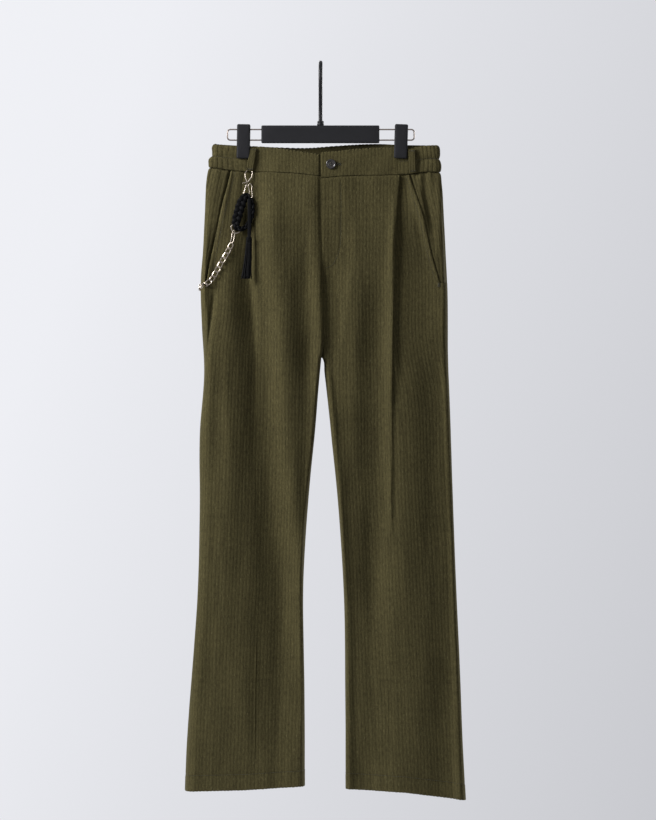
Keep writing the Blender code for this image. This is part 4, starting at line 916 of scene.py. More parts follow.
def panelRows(face):
    # the levels of a panel's rows, close together at its seams, its fork and its hem
    top, hem, fork = levels["waistSeam"], levels["hem"], levels["fork"]
    rows = [np.linspace(top, hem, 186), top - np.array([0.7, 1.6, 2.8]) * mm,
            fork + np.array([-8, -5, -2.5, -1, 0, 1, 2.5, 5, 8]) * mm,
            levels["hemStitch"] + np.array([-2.4, -1.2, 0, 1.2, 2.4]) * mm, hem + np.array([0.6, 1.6]) * mm]
    rows = np.concatenate(rows + ([np.array([levels["pocketEnd"]])] if face == "front" else []))
    rows = np.sort(rows)[::-1]
    fixed = [levels["pocketEnd"], fork, hem]
    rows = rows[np.concatenate([[True], -np.diff(rows) > 0.3 * mm]) | np.isin(rows, fixed)]
    tooNear = np.concatenate([[False], -np.diff(rows) < 0.3 * mm])
    return rows[~tooNear | np.isin(rows, fixed)]


def waleColumns(first, last):
    # widths of the mesh's columns, six to a wale, from before the first to past the last
    wales = np.arange(math.floor(first / cloth["walePitch"]) - 1, math.ceil(last / cloth["walePitch"]) + 1)
    return ((wales[:, None] + wavePhases) * cloth["walePitch"]).ravel()


def foldedWidths(section, count):
    # the pleat's columns: closer in its two turns than in the hidden layer between them
    closer = np.array([3.0, 1.0, 3.0])
    knots = np.concatenate([[0.0], np.cumsum(section.fold)])
    spread = np.concatenate([[0.0], np.cumsum(np.array(section.fold) * closer)])
    return np.interp(np.linspace(0, spread[-1], count), spread, knots)


def legPanel(side, face):
    # a grid of levels by cloth widths, six columns to a wale; the pocket mouth is a notch in the front's
    rows = panelRows(face)
    sections = [Section(side, face, float(level)) for level in rows]
    limits = [panelLimits(section) for section in sections]
    grains = np.array([section.grain for section in sections])
    lows, highs = np.array(limits).T
    ends = np.array([section.foldEnd for section in sections])
    inward = waleColumns((lows - grains).min(), (-grains).max())
    outward = waleColumns((ends - grains).min(), (highs - grains).max())
    foldCount, notch, step, cut = 1, None, None, None
    if face == "front":
        foldCount = 21
        step = int(np.argmin(np.abs(rows - levels["pocketEnd"])))
        mouthEnd = sections[step].widthAt(pocketMouth[side]["edge"][-1])
        cut = int(np.argmin(np.abs(outward + sections[step].grain - mouthEnd)))
        notch = (step, len(inward) + foldCount + cut)
    foldAt, total = len(inward), len(inward) + foldCount + len(outward)
    kept = [foldAt, foldAt + foldCount // 2, foldAt + foldCount - 1, total - 1]
    kept += [notch[1]] if notch else []
    picked = np.unique(np.concatenate([np.arange(0, total, 6), kept]).astype(int))
    outer, inner, outerPlaces, innerPlaces, area = [], [], [], [], 0.0
    for k, (section, (low, high)) in enumerate(zip(sections, limits)):
        level = section.level
        folded = foldedWidths(section, foldCount) if face == "front" else np.zeros(1)
        inAt, outAt = inward + section.grain, outward + section.grain
        inAt = clamp(inAt + wander(inAt, level), low, 0.0)
        outAt = clamp(outAt + wander(outAt, level), section.foldEnd, high)
        inAt[0], outAt[-1] = low, high
        if face == "front" and level > levels["pocketEnd"]:
            outAt[cut:] = high
        if k == step:
            outAt[cut] = mouthEnd
            outAt[:cut] = np.minimum(outAt[:cut], mouthEnd)
            outAt[cut + 1:] = np.maximum(outAt[cut + 1:], mouthEnd)
        widths = np.concatenate([inAt, folded, outAt])
        across = widths - section.grain - wander(widths, level)
        shift = bodyShift(section, widths, low, high)
        relief, share = outerRelief(section, widths, low, high)
        lift = flyLift(section, widths)
        drop = np.zeros(total)
        if k == 0:                  # the top edge tucks in under the band
            tuck = 1 - pinch(signOf(side) * section.placeOf(widths), level)
            shift, drop = shift - drape["tuck"] * tuck, -1.5 * mm * tuck
        innerDrop = drop[picked]
        if k == len(rows) - 1:      # the turned-up edge: cords show as small scallops
            relief, drop = relief * 0.4 - 0.2 * mm, 0.7 * mm * share
        points = section.point(widths, shift + relief, lift, drop)
        if face == "front" and side == "left" and level > levels["flyEnd"] - 4 * mm:
            away = toFlyStitch(points[:, [0, 2]])
            relief = relief - drape["flyDip"] * np.exp(-(away / (1.3 * mm)) ** 2)
            points = section.point(widths, shift + relief, lift, drop)
        outer.append(points)
        inner.append(section.point(widths[picked], shift[picked] - cloth["wall"], lift[picked], innerDrop))
        outerPlaces.append(clothPlaces(across, level, share))
        innerPlaces.append(clothPlaces(across[picked], level, 0.15))
        if k:
            area += (high - low) * (rows[k - 1] - rows[k])
    name = "corduroy_" + face + "_" + side
    made = closedSheet(name, outer, inner, picked, outerPlaces, innerPlaces, [face + "_" + side], notch)


for side in ("right", "left"):
    for face in ("front", "back"):
        legPanel(side, face)
print("legs made")


hipCorner = {"rows": 46, "wales": 13, "flat": (0.072, 0.176), "area": 0.0083}


def pocketFacing(side):
    # the hip corner behind the slanted mouth: it lies under the front, follows its lip and has small folds
    pitch = cloth["walePitch"]
    rows = np.linspace(levels["waistSeam"], levels["pocketEnd"] + cloth["layerGap"], hipCorner["rows"])
    distances = ((np.arange(hipCorner["wales"])[:, None] + wavePhases) * pitch).ravel()[::-1]
    picked = np.unique(np.append(np.arange(0, len(distances), 4), len(distances) - 1))
    outer, inner, outerPlaces, innerPlaces = [], [], [], []
    for level in rows:
        section = Section(side, "front", float(level))
        high = section.width[-1] - cloth["seamGap"] / 2
        mouth = min(section.widthAt(mouthEdge(side, level)), high)
        low = mouth - cloth["mouthUnderlap"]
        widths = clamp(high - distances, low, high)
        beyond, fromSide = widths - mouth, high - widths
        cord = waleShape(fromSide / pitch)
        share = cord * ease((beyond + 1 * mm) / (2 * mm)) * ease(fromSide / (2.2 * mm))
        share = share * (0.35 + 0.65 * ease((rows[0] - level) / (4 * mm)))
        reach = np.where(beyond < 0, drape["mouthReach"][side], drape["followReach"])
        follow = mouthLift(section) * np.exp(-(beyond / reach) ** 2) * ease(fromSide / (6 * mm))
        slit = drape["slitDepth"][side] * np.exp(-(np.maximum(beyond, 0) / drape["slitReach"][side]) ** 2)
        shift = bodyShift(section, widths, low, high, onFacing=True) * ease(beyond / (9 * mm)) + follow
        shift = shift - (cloth["wall"] + cloth["mouthGap"]) * ease(fromSide / (7 * mm)) - slit
        outer.append(section.point(widths, shift + cloth["waleHeight"] * share))
        inner.append(section.point(widths[picked], shift[picked] - cloth["wall"]))
        outerPlaces.append(clothPlaces(-distances, level, cord))
        innerPlaces.append(clothPlaces(-distances[picked], level, 0.15))
    made = closedSheet("corduroy_pocket_facing_" + side, outer, inner, picked, outerPlaces, innerPlaces,
                       ["pocket_facing_" + side])


for side in ("right", "left"):
    pocketFacing(side)
print("pocket facings made")


# Waistband: an elastic channel round the sides and the back, and two flat fronts

band = {
    "columnStep": 0.75 * mm, "rows": 27, "gatherPitch": 6.6 * mm, "gatherDepth": 1.25 * mm,
    "ringLength": 0.48, "underlap": 26 * mm, "roll": 1.5 * mm, "corner": 4.5 * mm, "puff": 0.7 * mm,
    "elasticScallop": 1.3 * mm, "flatScallop": 1.4 * mm,
    "elasticFlat": (0.62, 0.042), "leftFlat": (0.125, 0.042), "rightFlat": (0.147, 0.042),
}
# by share of the band's height: how far it swells, in millimetres, and how deep its gathers are
bandProfile = table("share swell ruffle", [
    (0, 0.2, 0.5), (0.07, 1.6, 0.9), (0.22, 2.9, 1.0), (0.38, 2.0, 0.9), (0.45, 0.6, 0.7), (0.49, -1.1, 0.5),
    (0.53, 0.2, 0.7), (0.6, 1.3, 0.9), (0.76, 1.9, 1.0), (0.88, 1.7, 0.9), (0.94, 0.7, 0.8),
    (0.975, -0.6, 0.7), (1, -2.4, 0.6)])


def bandRing(level):
    # the band's whole ring at one height, from the centre front round the wearer's left to the centre front
    stretches = []
    for side, face, backwards in (("left", "front", False), ("left", "back", True),
                                  ("right", "back", False), ("right", "front", True)):
        out, y = baseLine(side, face, level)
        points = np.column_stack([signOf(side) * out, y])
        stretches.append(points[::-1] if backwards else points)
    line = np.vstack([stretches[0]] + [s[1:] for s in stretches[1:]])
    line = line[np.concatenate([[True], np.hypot(*np.diff(line, axis=0).T) > 1e-6])]
    width = runLength(line)
    tangent = unit(np.gradient(line, width, axis=0))
    return line, width, np.column_stack([tangent[:, 1], -tangent[:, 0]])


def frontPlace(line, width, x):
    # the width at which the ring's front half passes x
    later = width > width[-1] / 2
    use = (line[:, 1] < 0) & (later if x < 0 else ~later)
    order = np.argsort(line[use, 0])
    return float(np.interp(x, line[use, 0][order], width[use][order]))


def bandHeight(x, share, key):
    # z at a share of the way from the waist seam to the band's top
    low = smooth(seamLine[key]["x"], seamLine[key]["z"], x) + cloth["seamGap"]
    return low + (smooth(topLine[key]["x"], topLine[key]["z"], x) - low) * share


def mixedHeight(x, y, share):
    # the back's height, blended into each front's where it meets the flat band
    front = np.where(x > 0, bandHeight(x, share, "left"), bandHeight(x, share, "right"))
    back = bandHeight(x, share, "back")
    return back + (front - back) * frontShare(x) * (y < 0)


def bandLevel(share):
    return levels["waistSeam"] + (levels["bandTop"] - levels["waistSeam"]) * share


def rolled(share, height=40 * mm):
    # how far a folded edge draws in: a quarter circle over the last stretch
    near = np.minimum(share, 1 - share) * height
    return -band["roll"] * (1 - np.sqrt(np.clip(1 - (1 - np.clip(near / band["roll"], 0, 1)) ** 2, 0, 1)))


def elasticBand():
    # gathers are cords bunched into ridges of uneven pitch; two puffs lie either side of the channel stitch
    closer = [0.012, 0.48, 0.49, 0.51, 0.52, 0.988]
    shares = np.unique(np.concatenate([np.linspace(0, 1, band["rows"]), closer]))[::-1]
    outer, inner, outerPlaces, innerPlaces, columns = [], [], [], [], None
    for share in shares:
        line, width, normal = bandRing(bandLevel(share))
        low = frontPlace(line, width, join["left"]) + cloth["seamGap"] / 2
        high = frontPlace(line, width, -join["right"]) - cloth["seamGap"] / 2
        columns = columns or int((high - low) / band["columnStep"])
        picked = np.unique(np.append(np.arange(0, columns + 1, 6), columns))
        along = np.linspace(0, 1, columns + 1)
        widths = low + (high - low) * along
        w = along * band["ringLength"]
        x, y = (np.interp(widths, width, line[:, k]) for k in (0, 1))
        nx, ny = (np.interp(widths, width, normal[:, k]) for k in (0, 1))
        free = 1 - pinch(x, levels["bandTop"])
        phase = w / band["gatherPitch"] + 0.4 * np.sin(w / (31 * mm)) + 0.3 * np.sin(w / (11.3 * mm) + 1)
        phase = phase + 0.12 * np.sin(share * 5 + w / (19 * mm))
        ridge = waleShape(phase)
        ends = ease(np.minimum(along, 1 - along) * band["ringLength"] / (3 * mm))
        swell = float(smooth(bandProfile["share"], bandProfile["swell"], share)) * mm
        ruffle = float(smooth(bandProfile["share"], bandProfile["ruffle"], share))
        deep = band["gatherDepth"] * ruffle * (0.8 + 0.3 * np.sin(w / (17 * mm)))
        offset = (0.1 + 0.9 * free) * swell + rolled(share)
        offset = offset + (0.3 + 0.7 * free) * ends * deep * (ridge - 0.55)
        level = mixedHeight(x, y, share)
        crest = band["elasticScallop"] * ends * free * (ridge - 0.6) * float(ease((share - 0.8) / 0.2))
        outer.append(np.column_stack([x + nx * offset, y + ny * offset, level + crest]))
        under = np.column_stack([x - nx * cloth["bandWall"], y - ny * cloth["bandWall"], level])
        inner.append(under[picked])
        across = phase * cloth["walePitch"]
        # the gathers' troughs take the darker low-pile colour: painted shade between the ridges
        outerPlaces.append(clothPlaces(across, bandLevel(share), 0.15 + 0.8 * ridge))
        innerPlaces.append(clothPlaces(across[picked], bandLevel(share), 0.15))
    made = closedSheet("corduroy_waistband_elastic", outer, inner, picked, outerPlaces, innerPlaces,
                       ["waistband_elastic"])


buttonHole = {"start": 10 * mm, "end": 33 * mm, "z": -159.6 * mm}


def flatLine(level):
    # the whole front's line at one height, and the cloth's width along it from the centre
    out, y = baseLine("left", "front", level)
    rightY = np.interp(out[::-1], *baseLine("right", "front", level))
    line = np.vstack([np.column_stack([-out[::-1], rightY]), np.column_stack([out, y])[1:]])
    width = runLength(line)
    return line, width - np.interp(0.0, line[:, 0], width)


def flatBand(side):
    # a flat front; the left one ends over the fly and holds the buttonhole, the right one runs on under it
    pitch, gap = cloth["walePitch"], cloth["seamGap"] / 2
    shares = [np.linspace(0, 1, 25), [0.012, 0.03, 0.97, 0.988]]
    if side == "left":
        shares.append(0.43 + np.linspace(-0.06, 0.06, 13))
    shares = np.unique(np.concatenate(shares))[::-1]
    outer, inner, outerPlaces, innerPlaces, picked = [], [], [], [], None
    for share in shares:
        level = bandLevel(share)
        line, width = flatLine(level)
        if side == "left":
            low, high = (float(np.interp(v, line[:, 0], width)) for v in (2 * gap, join["left"]))
            high = high - gap
        else:
            low, high = (float(np.interp(v, line[:, 0], width)) for v in (-join["right"], band["underlap"]))
            low = low + gap
        if picked is None:
            first, last = int(math.floor(low / pitch)), int(math.ceil(high / pitch)) + 1
            columns = ((np.arange(first, last)[:, None] + wavePhases) * pitch).ravel()
            picked = np.unique(np.append(np.arange(0, len(columns), 4), len(columns) - 1))
        widths = clamp(columns, low, high)
        widths[0], widths[-1] = low, high
        x, y = (np.interp(widths, width, line[:, k]) for k in (0, 1))
        free = 1 - 0.8 * pinch(x, levels["bandTop"])
        ends = ease(np.minimum(widths - low, high - widths) / (2.4 * mm))
        ridge = waleShape(widths / pitch) * ends
        puff = band["puff"] * math.sin(pi * share) ** 0.6 * free * ends
        offset = 0.7 * cloth["waleHeight"] * ridge * (0.4 + 0.6 * free) + puff + rolled(share)
        uneven = waves(51, (24 * mm, 70 * mm), (60 * mm, 140 * mm), widths, share * 40 * mm)
        offset = offset + 0.25 * mm * uneven
        z = bandHeight(x, share, side)
        z = z + band["flatScallop"] * (ridge - 0.6) * float(ease((share - 0.9) / 0.1)) * ends
        recess = 0.0
        if side == "left":
            # its end corners are rounded off and the buttonhole's slit lies between two lips
            near = np.clip(1 - (widths - low) / band["corner"], 0, 1)
            cutOff = band["corner"] * (1 - np.sqrt(1 - near ** 2)) * (1 - 2 * share)
            z = z + cutOff * (0.35 if share < 0.5 else 0.75)
            slit = ease((x - buttonHole["start"]) / (1 * mm)) * ease((buttonHole["end"] - x) / (1 * mm))
            above = (z - buttonHole["z"]) / mm
            offset = offset + slit * (0.35 * mm * np.exp(-((np.abs(above) - 1.3) / 0.8) ** 2)
                                      - 1.5 * mm * np.exp(-(above / 0.55) ** 2))
        else:
            tucked = ease((widths + 3.5 * mm) / (4.5 * mm))
            offset, recess = offset * (1 - tucked), tucked * (cloth["bandWall"] + cloth["layerGap"])
        outer.append(np.column_stack([x, y - offset + recess, z]))
        inner.append(np.column_stack([x, y + cloth["bandWall"] + recess, z])[picked])
        outerPlaces.append(clothPlaces(widths, level, 0.1 + 0.9 * ridge))
        innerPlaces.append(clothPlaces(widths[picked], level, 0.15))
    made = closedSheet("corduroy_waistband_front_" + side, outer, inner, picked, outerPlaces, innerPlaces,
                       ["waistband_front_" + side])


elasticBand()
for side in ("right", "left"):
    flatBand(side)
print("waistband made")


# Belt loops

def surfaceY(x, z, face="front"):
    # y of the cloth's ground at a place on the front or the back
    out, y = baseLine("left" if x > 0 else "right", face, float(z))
    return float(np.interp(abs(x), out, y))


loop = {
    "width": 11.2 * mm, "wall": 1.6 * mm, "stand": 0.8 * mm, "rise": 2.7 * mm, "overElastic": 0.8 * mm,
    "rows": 30, "columns": 19, "flat": (0.0115, 0.04),
}
# x of each loop's top and of its foot
loopPlaces = {"right": (-107.6, -113.2), "left": (146, 147), "back_right": (-90, -90), "back_left": (90, 90),
              "back_centre": (0, 0)}


def loopFace(name):
    return "back" if name.startswith("back") else "front"


def loopPath(name, x, shares):
    # a loop's middle line, sewn down at both ends: between them it bows off the band as sin^0.6
    face = loopFace(name)
    x, shares = np.atleast_1d(x), np.atleast_1d(shares)
    side = "left" if x[0] > 0 else "right"
    z = bandHeight(x, 0.04 + 0.89 * shares, "back" if face == "back" else side)
    ground = np.array([surfaceY(a, bandLevel(s), face) for a, s in zip(x, shares)])
    stand = loop["stand"] + loop["rise"] * np.sin(pi * shares) ** 0.6 + loop["wall"] / 2
    if face == "back" or x[0] > join["left"]:
        stand = stand + loop["overElastic"]
    way = 1 if face == "back" else -1
    return np.column_stack([x, ground + way * stand, z]), way


def beltLoop(name):
    # a folded strap with a raised cord along its middle and thin edges, carried along the loop's path
    top, foot = (x * mm for x in loopPlaces[name])
    shares = np.linspace(0, 1, loop["rows"])
    path, way = loopPath(name, foot + (top - foot) * shares, shares)
    across, half = np.linspace(-1, 1, loop["columns"]), loop["width"] / 2
    cord = waleShape(across * half / cloth["walePitch"] + 0.5) * (1 - np.abs(across) ** 10)
    thick = loop["wall"] / 2 * (1 - np.abs(across) ** 6) ** 0.5
    profile = np.vstack([np.column_stack([across * half, thick + 0.45 * mm * cord]),
                         np.column_stack([across * half, -thick])[-2:0:-1]])
    pile = np.concatenate([cord, np.full(loop["columns"] - 2, 0.2)])
    points, faces = sweep(path, profile, (0, way, 0))
    acrossAndUp = profile[None, :, 0] / cloth["walePitch"], path[:, 2:] / cloth["walePitch"]
    places = np.stack(np.broadcast_arrays(*acrossAndUp, pile[None]), axis=-1)
    made = newPiece("corduroy_belt_loop_" + name, [(points, faces)], corduroy,
                    ["belt_loop_" + name], 60, places.reshape(-1, 3))


for name in loopPlaces:
    beltLoop(name)
print("belt loops made")


# Button

button = {
    "x": 16.7 * mm, "z": -159.5 * mm, "stand": 1.04 * mm,
    "profile": [(0, 0), (6.8, 0), (7.6, 0.3), (8.0, 0.9), (8.05, 1.6), (7.8, 2.3), (7.2, 2.8), (6.5, 3.0),
                (5.9, 2.85), (5.3, 2.4), (4.4, 2.05), (2.0, 1.95), (0, 1.95)],
    "holeAway": 1.5 * mm, "holeRadius": 1.0 * mm, "holeRim": 0.22 * mm, "threadRadius": 0.24 * mm,
}


def makeButton():
    # a turned disc with a raised rim and a dished face; four holes with two threads across each pair
    x, z, away = button["x"], button["z"], button["holeAway"]
    back = surfaceY(x, z) - button["stand"]
    parts = [turned(button["profile"], (x, back, z), "y", 48)]
    angles = np.radians(np.arange(0, 360, 30))
    rim = button["holeRadius"] * np.column_stack([np.cos(angles), np.zeros(len(angles)), np.sin(angles)])
    for right, up in ((-1, 1), (1, 1), (-1, -1), (1, -1)):
        centre = np.array([x + right * away, back - 2.0 * mm, z + up * away])
        parts.append(tube(centre + rim, button["holeRim"], (0, -1, 0), 6, True))
    newPiece("casein_button", parts, darkHorn, ["button"], 45)
    parts = []
    share = np.linspace(0, 1, 9)
    for up in (-1, 1):
        for aside in (-0.28 * mm, 0.28 * mm):
            path = np.column_stack([x + away * (2 * share - 1), back - (1.9 + 0.75 * np.sin(pi * share)) * mm,
                                    np.full(len(share), z + up * away + aside)])
            parts.append(tube(path, button["threadRadius"], (0, -1, 0), 6))
    newPiece("button_thread", parts, thread)


makeButton()
print("button made")


# Sewing: each stitch is a small lens-shaped length of thread that dips at both ends

stitch = {
    "length": 2.5 * mm, "pitch": 3.3 * mm, "radius": 0.3 * mm, "sides": 5,
    "tackWidth": 8.8 * mm, "tackPitch": 0.8 * mm,
}


def stitchShapes(starts, ends, normals, radius=stitch["radius"]):
    # three rings and two tips a stitch: the radius and the rise over the cloth are greatest in the middle
    starts, ends, normals = (np.asarray(a, float) for a in (starts, ends, normals))
    along = unit(ends - starts)
    across = unit(np.cross(along, normals))
    out = np.cross(across, along)
    t = np.array([0.14, 0.5, 0.86])
    size = np.array([0.75, 1.0, 0.75]) * radius
    rise = np.array([0.4, 1.0, 0.4]) * radius
    count, sides = len(starts), stitch["sides"]
    angles = np.linspace(0, 2 * pi, sides, endpoint=False)[:, None]
    centre = starts[:, None] + (ends - starts)[:, None] * t[:, None] + out[:, None] * rise[:, None]
    spokes = np.cos(angles) * across[:, None, None] + np.sin(angles) * out[:, None, None]
    rings = centre[:, :, None] + size[:, None, None] * spokes
    tips = [(end - out * radius * 0.6)[:, None] for end in (starts, ends)]
    points = np.concatenate([rings.reshape(count, -1, 3)] + tips, axis=1)
    per = points.shape[1]
    k = np.arange(sides)
    after = (k + 1) % sides
    caps = np.concatenate([np.stack([k, after, np.full(sides, per - 2)], 1),
                           np.stack([after + 2 * sides, k + 2 * sides, np.full(sides, per - 1)], 1)])
    base = (np.arange(count) * per)[:, None, None]
    faces = (gridFaces(3, sides, False, True)[None] + base).reshape(-1, 4).tolist()
    return points.reshape(-1, 3), faces + (caps[None] + base).reshape(-1, 3).tolist()


def seam(path, normals):
    # stitches at an even pitch along a path of points with outward normals
    path, normals = np.asarray(path), np.asarray(normals)
    length = stitch["length"]
    at = runLength(path)
    starts = np.arange(0.4 * mm, at[-1] - length, stitch["pitch"])

    def read(places, values):
        return np.column_stack([np.interp(places, at, values[:, k]) for k in range(3)])

    middles = unit(read(starts + length / 2, normals))
    return stitchShapes(read(starts, path), read(starts + length, path), middles)


def clothPath(side, face, levelsAt, widthsAt, offset):
    # points and normals on the cloth at some levels, each at the widths that a function of the section gives
    points, normals = [], []
    for level in levelsAt:
        section = Section(side, face, float(level))
        low, high = panelLimits(section)
        width = np.atleast_1d(widthsAt(section, low, high))
        shift = bodyShift(section, width, low, high) + offset
        points.append(section.point(width, shift, flyLift(section, width)))
        nx = np.interp(width, section.width, section.normal[:, 0]) * signOf(side)
        ny = np.interp(width, section.width, section.normal[:, 1])
        normals.append(np.column_stack([nx, ny, np.zeros(len(width))]))
    return np.vstack(points), np.vstack(normals)


def panelSeams(side):
    # the hem's stitches, the pocket mouth's and the bar tack across its foot
    parts = []
    for face in ("front", "back"):
        parts.append(seam(*clothPath(
            side, face, [levels["hemStitch"]],
            lambda section, low, high: np.arange(low + 1 * mm, high - 1 * mm, 1 * mm), 0.05 * mm)))
    mouthLevels = np.linspace(-176 * mm, levels["pocketEnd"] + 4 * mm, 36)
    parts.append(seam(*clothPath(side, "front", mouthLevels,
                                 lambda section, low, high: high - drape["mouthStitch"], 0.15 * mm)))
    tackLevels = np.linspace(levels["pocketEnd"] + 3 * mm, levels["pocketEnd"] - 6 * mm, 12)
    foot = pocketMouth[side]["edge"][-1]
    starts, normals = clothPath(side, "front", tackLevels,
                                lambda section, low, high: section.widthAt(foot) - 4 * mm, 0.7 * mm)
    ends, _ = clothPath(side, "front", tackLevels,
                        lambda section, low, high: section.widthAt(foot) + 1 * mm, 0.7 * mm)
    keep = tackLevels <= levels["pocketEnd"]
    return parts + [stitchShapes(starts[keep], ends[keep], normals[keep])]


def flySeam():
    # the fly's curved stitch line, read at even steps
    step = runLength(np.column_stack([flyStitch["x"], flyStitch["z"]]))
    at = np.linspace(0, 1, 60) * step[-1]
    points = []
    for x, z in zip(*(np.interp(at, step, flyStitch[k]) for k in ("x", "z"))):
        section = Section("left", "front", float(z))
        low, high = panelLimits(section)
        inward = slice(0, section.width.searchsorted(0) + 1)
        width = np.array([np.interp(x, section.line[inward, 0], section.width[inward])])
        shift = bodyShift(section, width, low, high) + 0.1 * mm
        points.append(section.point(width, shift, flyLift(section, width))[0])
    return seam(points, np.tile([0.0, -1.0, 0.0], (len(points), 1)))


def channelSeam():
    # the stitch line that parts the elastic's two channels
    line, width, normal = bandRing(bandLevel(0.5))
    low = frontPlace(line, width, join["left"]) + 2 * mm
    high = frontPlace(line, width, -join["right"]) - 2 * mm
    widths = np.arange(low, high, 1 * mm)
    x, y = (np.interp(widths, width, line[:, k]) for k in (0, 1))
    nx, ny = (np.interp(widths, width, normal[:, k]) for k in (0, 1))
    return seam(np.column_stack([x, y, mixedHeight(x, y, 0.5)]), np.column_stack([nx, ny, np.zeros(len(nx))]))


def buttonholeSeam(way):
    # close stitches along one side of the slit
    x = np.arange(buttonHole["start"] + 1 * mm, buttonHole["end"], 0.75 * mm)
    y = np.array([surfaceY(a, buttonHole["z"]) for a in x]) - 1.3 * mm
    starts = np.column_stack([x, y + 0.7 * mm, np.full(len(x), buttonHole["z"] + way * 0.35 * mm)])
    ends = np.column_stack([x, y, np.full(len(x), buttonHole["z"] + way * 2.0 * mm)])
    return stitchShapes(starts, ends, np.tile([0.0, -1.0, 0.0], (len(x), 1)), 0.36 * mm)


def loopTacks(name):
    # a bar tack of close slanting stitches at the foot and the top of a belt loop
    parts = []
    for share, place in ((0.07, loopPlaces[name][1]), (0.93, loopPlaces[name][0])):
        path, way = loopPath(name, place * mm, share)
        x, y, z = path[0]
        y = y + way * (loop["wall"] / 2 + 0.4 * mm)
        across = np.arange(-stitch["tackWidth"] / 2, stitch["tackWidth"] / 2 + 0.1 * mm, stitch["tackPitch"])
        starts = np.column_stack([x + across, np.full(len(across), y), np.full(len(across), z - 0.9 * mm)])
        ends = starts + np.array([0.5, 0, 1.8]) * mm
        parts.append(stitchShapes(starts, ends, np.tile([0.0, way, 0.0], (len(across), 1)), 0.32 * mm))
    return parts


def sewing():
    parts = panelSeams("right") + panelSeams("left") + [flySeam(), channelSeam()]
    parts += [buttonholeSeam(way) for way in (-1, 1)]
    for name in loopPlaces:
        parts += loopTacks(name)
    newPiece("sewing_thread", parts, thread, sharp=80)
    print("stitches", sum(len(points) for points, faces in parts) // (3 * stitch["sides"] + 2))


sewing()
print("sewing made")


# The clip-on chain: a clasp through the right belt loop, a braided fob, a tassel and a cable chain

trim = {
    "clasp": metres(table("x z stand", [
        (-120.2, -174.4, 3.4), (-120.4, -179, 4.4), (-118.6, -185, 5), (-116.6, -188.5, 5.4),
        (-113.2, -184.5, 5), (-110, -179.5, 4.6), (-108.8, -175, 3.8), (-109.6, -171.4, 1.9),
        (-111.4, -169.2, 1.3), (-114.2, -168.4, 1.3), (-117, -169.4, 1.3), (-119, -171.6, 1.9)])),
    "lever": metres(table("x z", [(-116.8, -187.6), (-120, -189.4), (-123.6, -189.8)])),
    "swivel": metres(table("x z", [(-117.4, -191.0), (-119.4, -196), (-121.6, -203), (-123.6, -210)])),
    "tasselRing": metres(table("x z", [
        (-114.6, -192.5), (-113.8, -203), (-112.8, -213), (-109.8, -213), (-110, -203), (-110.8, -192.5),
        (-112.6, -190.6)])),
    "fob": metres(table("x z width", [
        (-118.2, -209.5, 8.5), (-123.5, -216, 14), (-127.5, -226, 16), (-131, -238, 16), (-134, -250, 15),
        (-134.5, -259, 12), (-129, -264, 9), (-120, -261, 8), (-113, -252, 8), (-109.5, -240, 8.5),
        (-109.2, -228, 9), (-110.4, -220, 8.5), (-114, -213.5, 7.5)])),
    "fobRing": metres(table("x z", [
        (-142.6, -259.6), (-141.6, -265.4), (-138.4, -269.6), (-133, -270.2), (-128.2, -267), (-128, -261.4),
        (-132, -257.4), (-139, -256.8)])),
    "longLink": metres(table("x z stand", [
        (-138.4, -266, 4.6), (-137.2, -270, 4.2), (-138, -279, 4.2), (-140.6, -285.6, 4.2),
        (-142.6, -285.6, 2.6), (-142, -279, 2.4), (-140.6, -270, 2.2), (-139.8, -266, 2.6)])),
    "tassel": metres(table("x z width depth", [
        (-113.6, -216, 5.8, 2.4), (-113.4, -246, 5.8, 2.4), (-113.6, -276, 5.8, 2.6), (-113.8, -281, 9, 5),
        (-114.6, -296, 11, 6), (-116.2, -320, 14, 7), (-118.2, -343.5, 18, 8)])),
    "chainFront": metres(table("x level stand", [
        (142.6, -288, 5.4), (150, -304, 5.4), (157, -316, 5.2), (166, -332, 4.8), (175, -344.5, 3.6),
        (182, -351, 2.4)])),
    "chainBack": metres(table("seam level stand", [
        (1, -356, 1.9), (12, -358, 2.6), (26, -354, 3.6), (45, -338, 3.8), (65, -312, 3.8), (83, -281, 3.8),
        (95, -245, 3.8), (101, -212, 3.6), (102, -186, 3.6)])),
    "pleatLift": 2.6 * mm, "strands": 74,
    "link": {"length": 12.0 * mm, "width": 8.8 * mm, "wire": 1.8 * mm, "tilt": 18, "steps": 20, "sides": 7},
}
towardsEye = np.array([0.0, -1.0, 0.0])


def inFront(rows, stand):
    # points that stand off the cloth's front at their places
    y = np.array([surfaceY(x, z) for x, z in zip(rows["x"], rows["z"])])
    return np.column_stack([rows["x"], y - stand, rows["z"]])


def through(points, count, closed=False):
    # a smooth curve through a few points, read at even steps; a closed one is the middle of three rounds
    points = np.asarray(points, float)
    if closed:
        thrice = np.vstack([points, points, points, points[:1]])
        at = runLength(thrice)
        steps = np.linspace(at[len(points)], at[2 * len(points)], count, endpoint=False)
        return np.column_stack([smooth(at, thrice[:, k], steps) for k in range(points.shape[1])])
    at = runLength(points[:, :3])
    steps = np.linspace(0, at[-1], count)
    return np.column_stack([smooth(at, points[:, k], steps) for k in range(points.shape[1])])


def swell(share, middle, height, width):
    # a ring round a turned rod: a Gaussian of the share of its length
    return height * np.exp(-((share - middle) / width) ** 2)


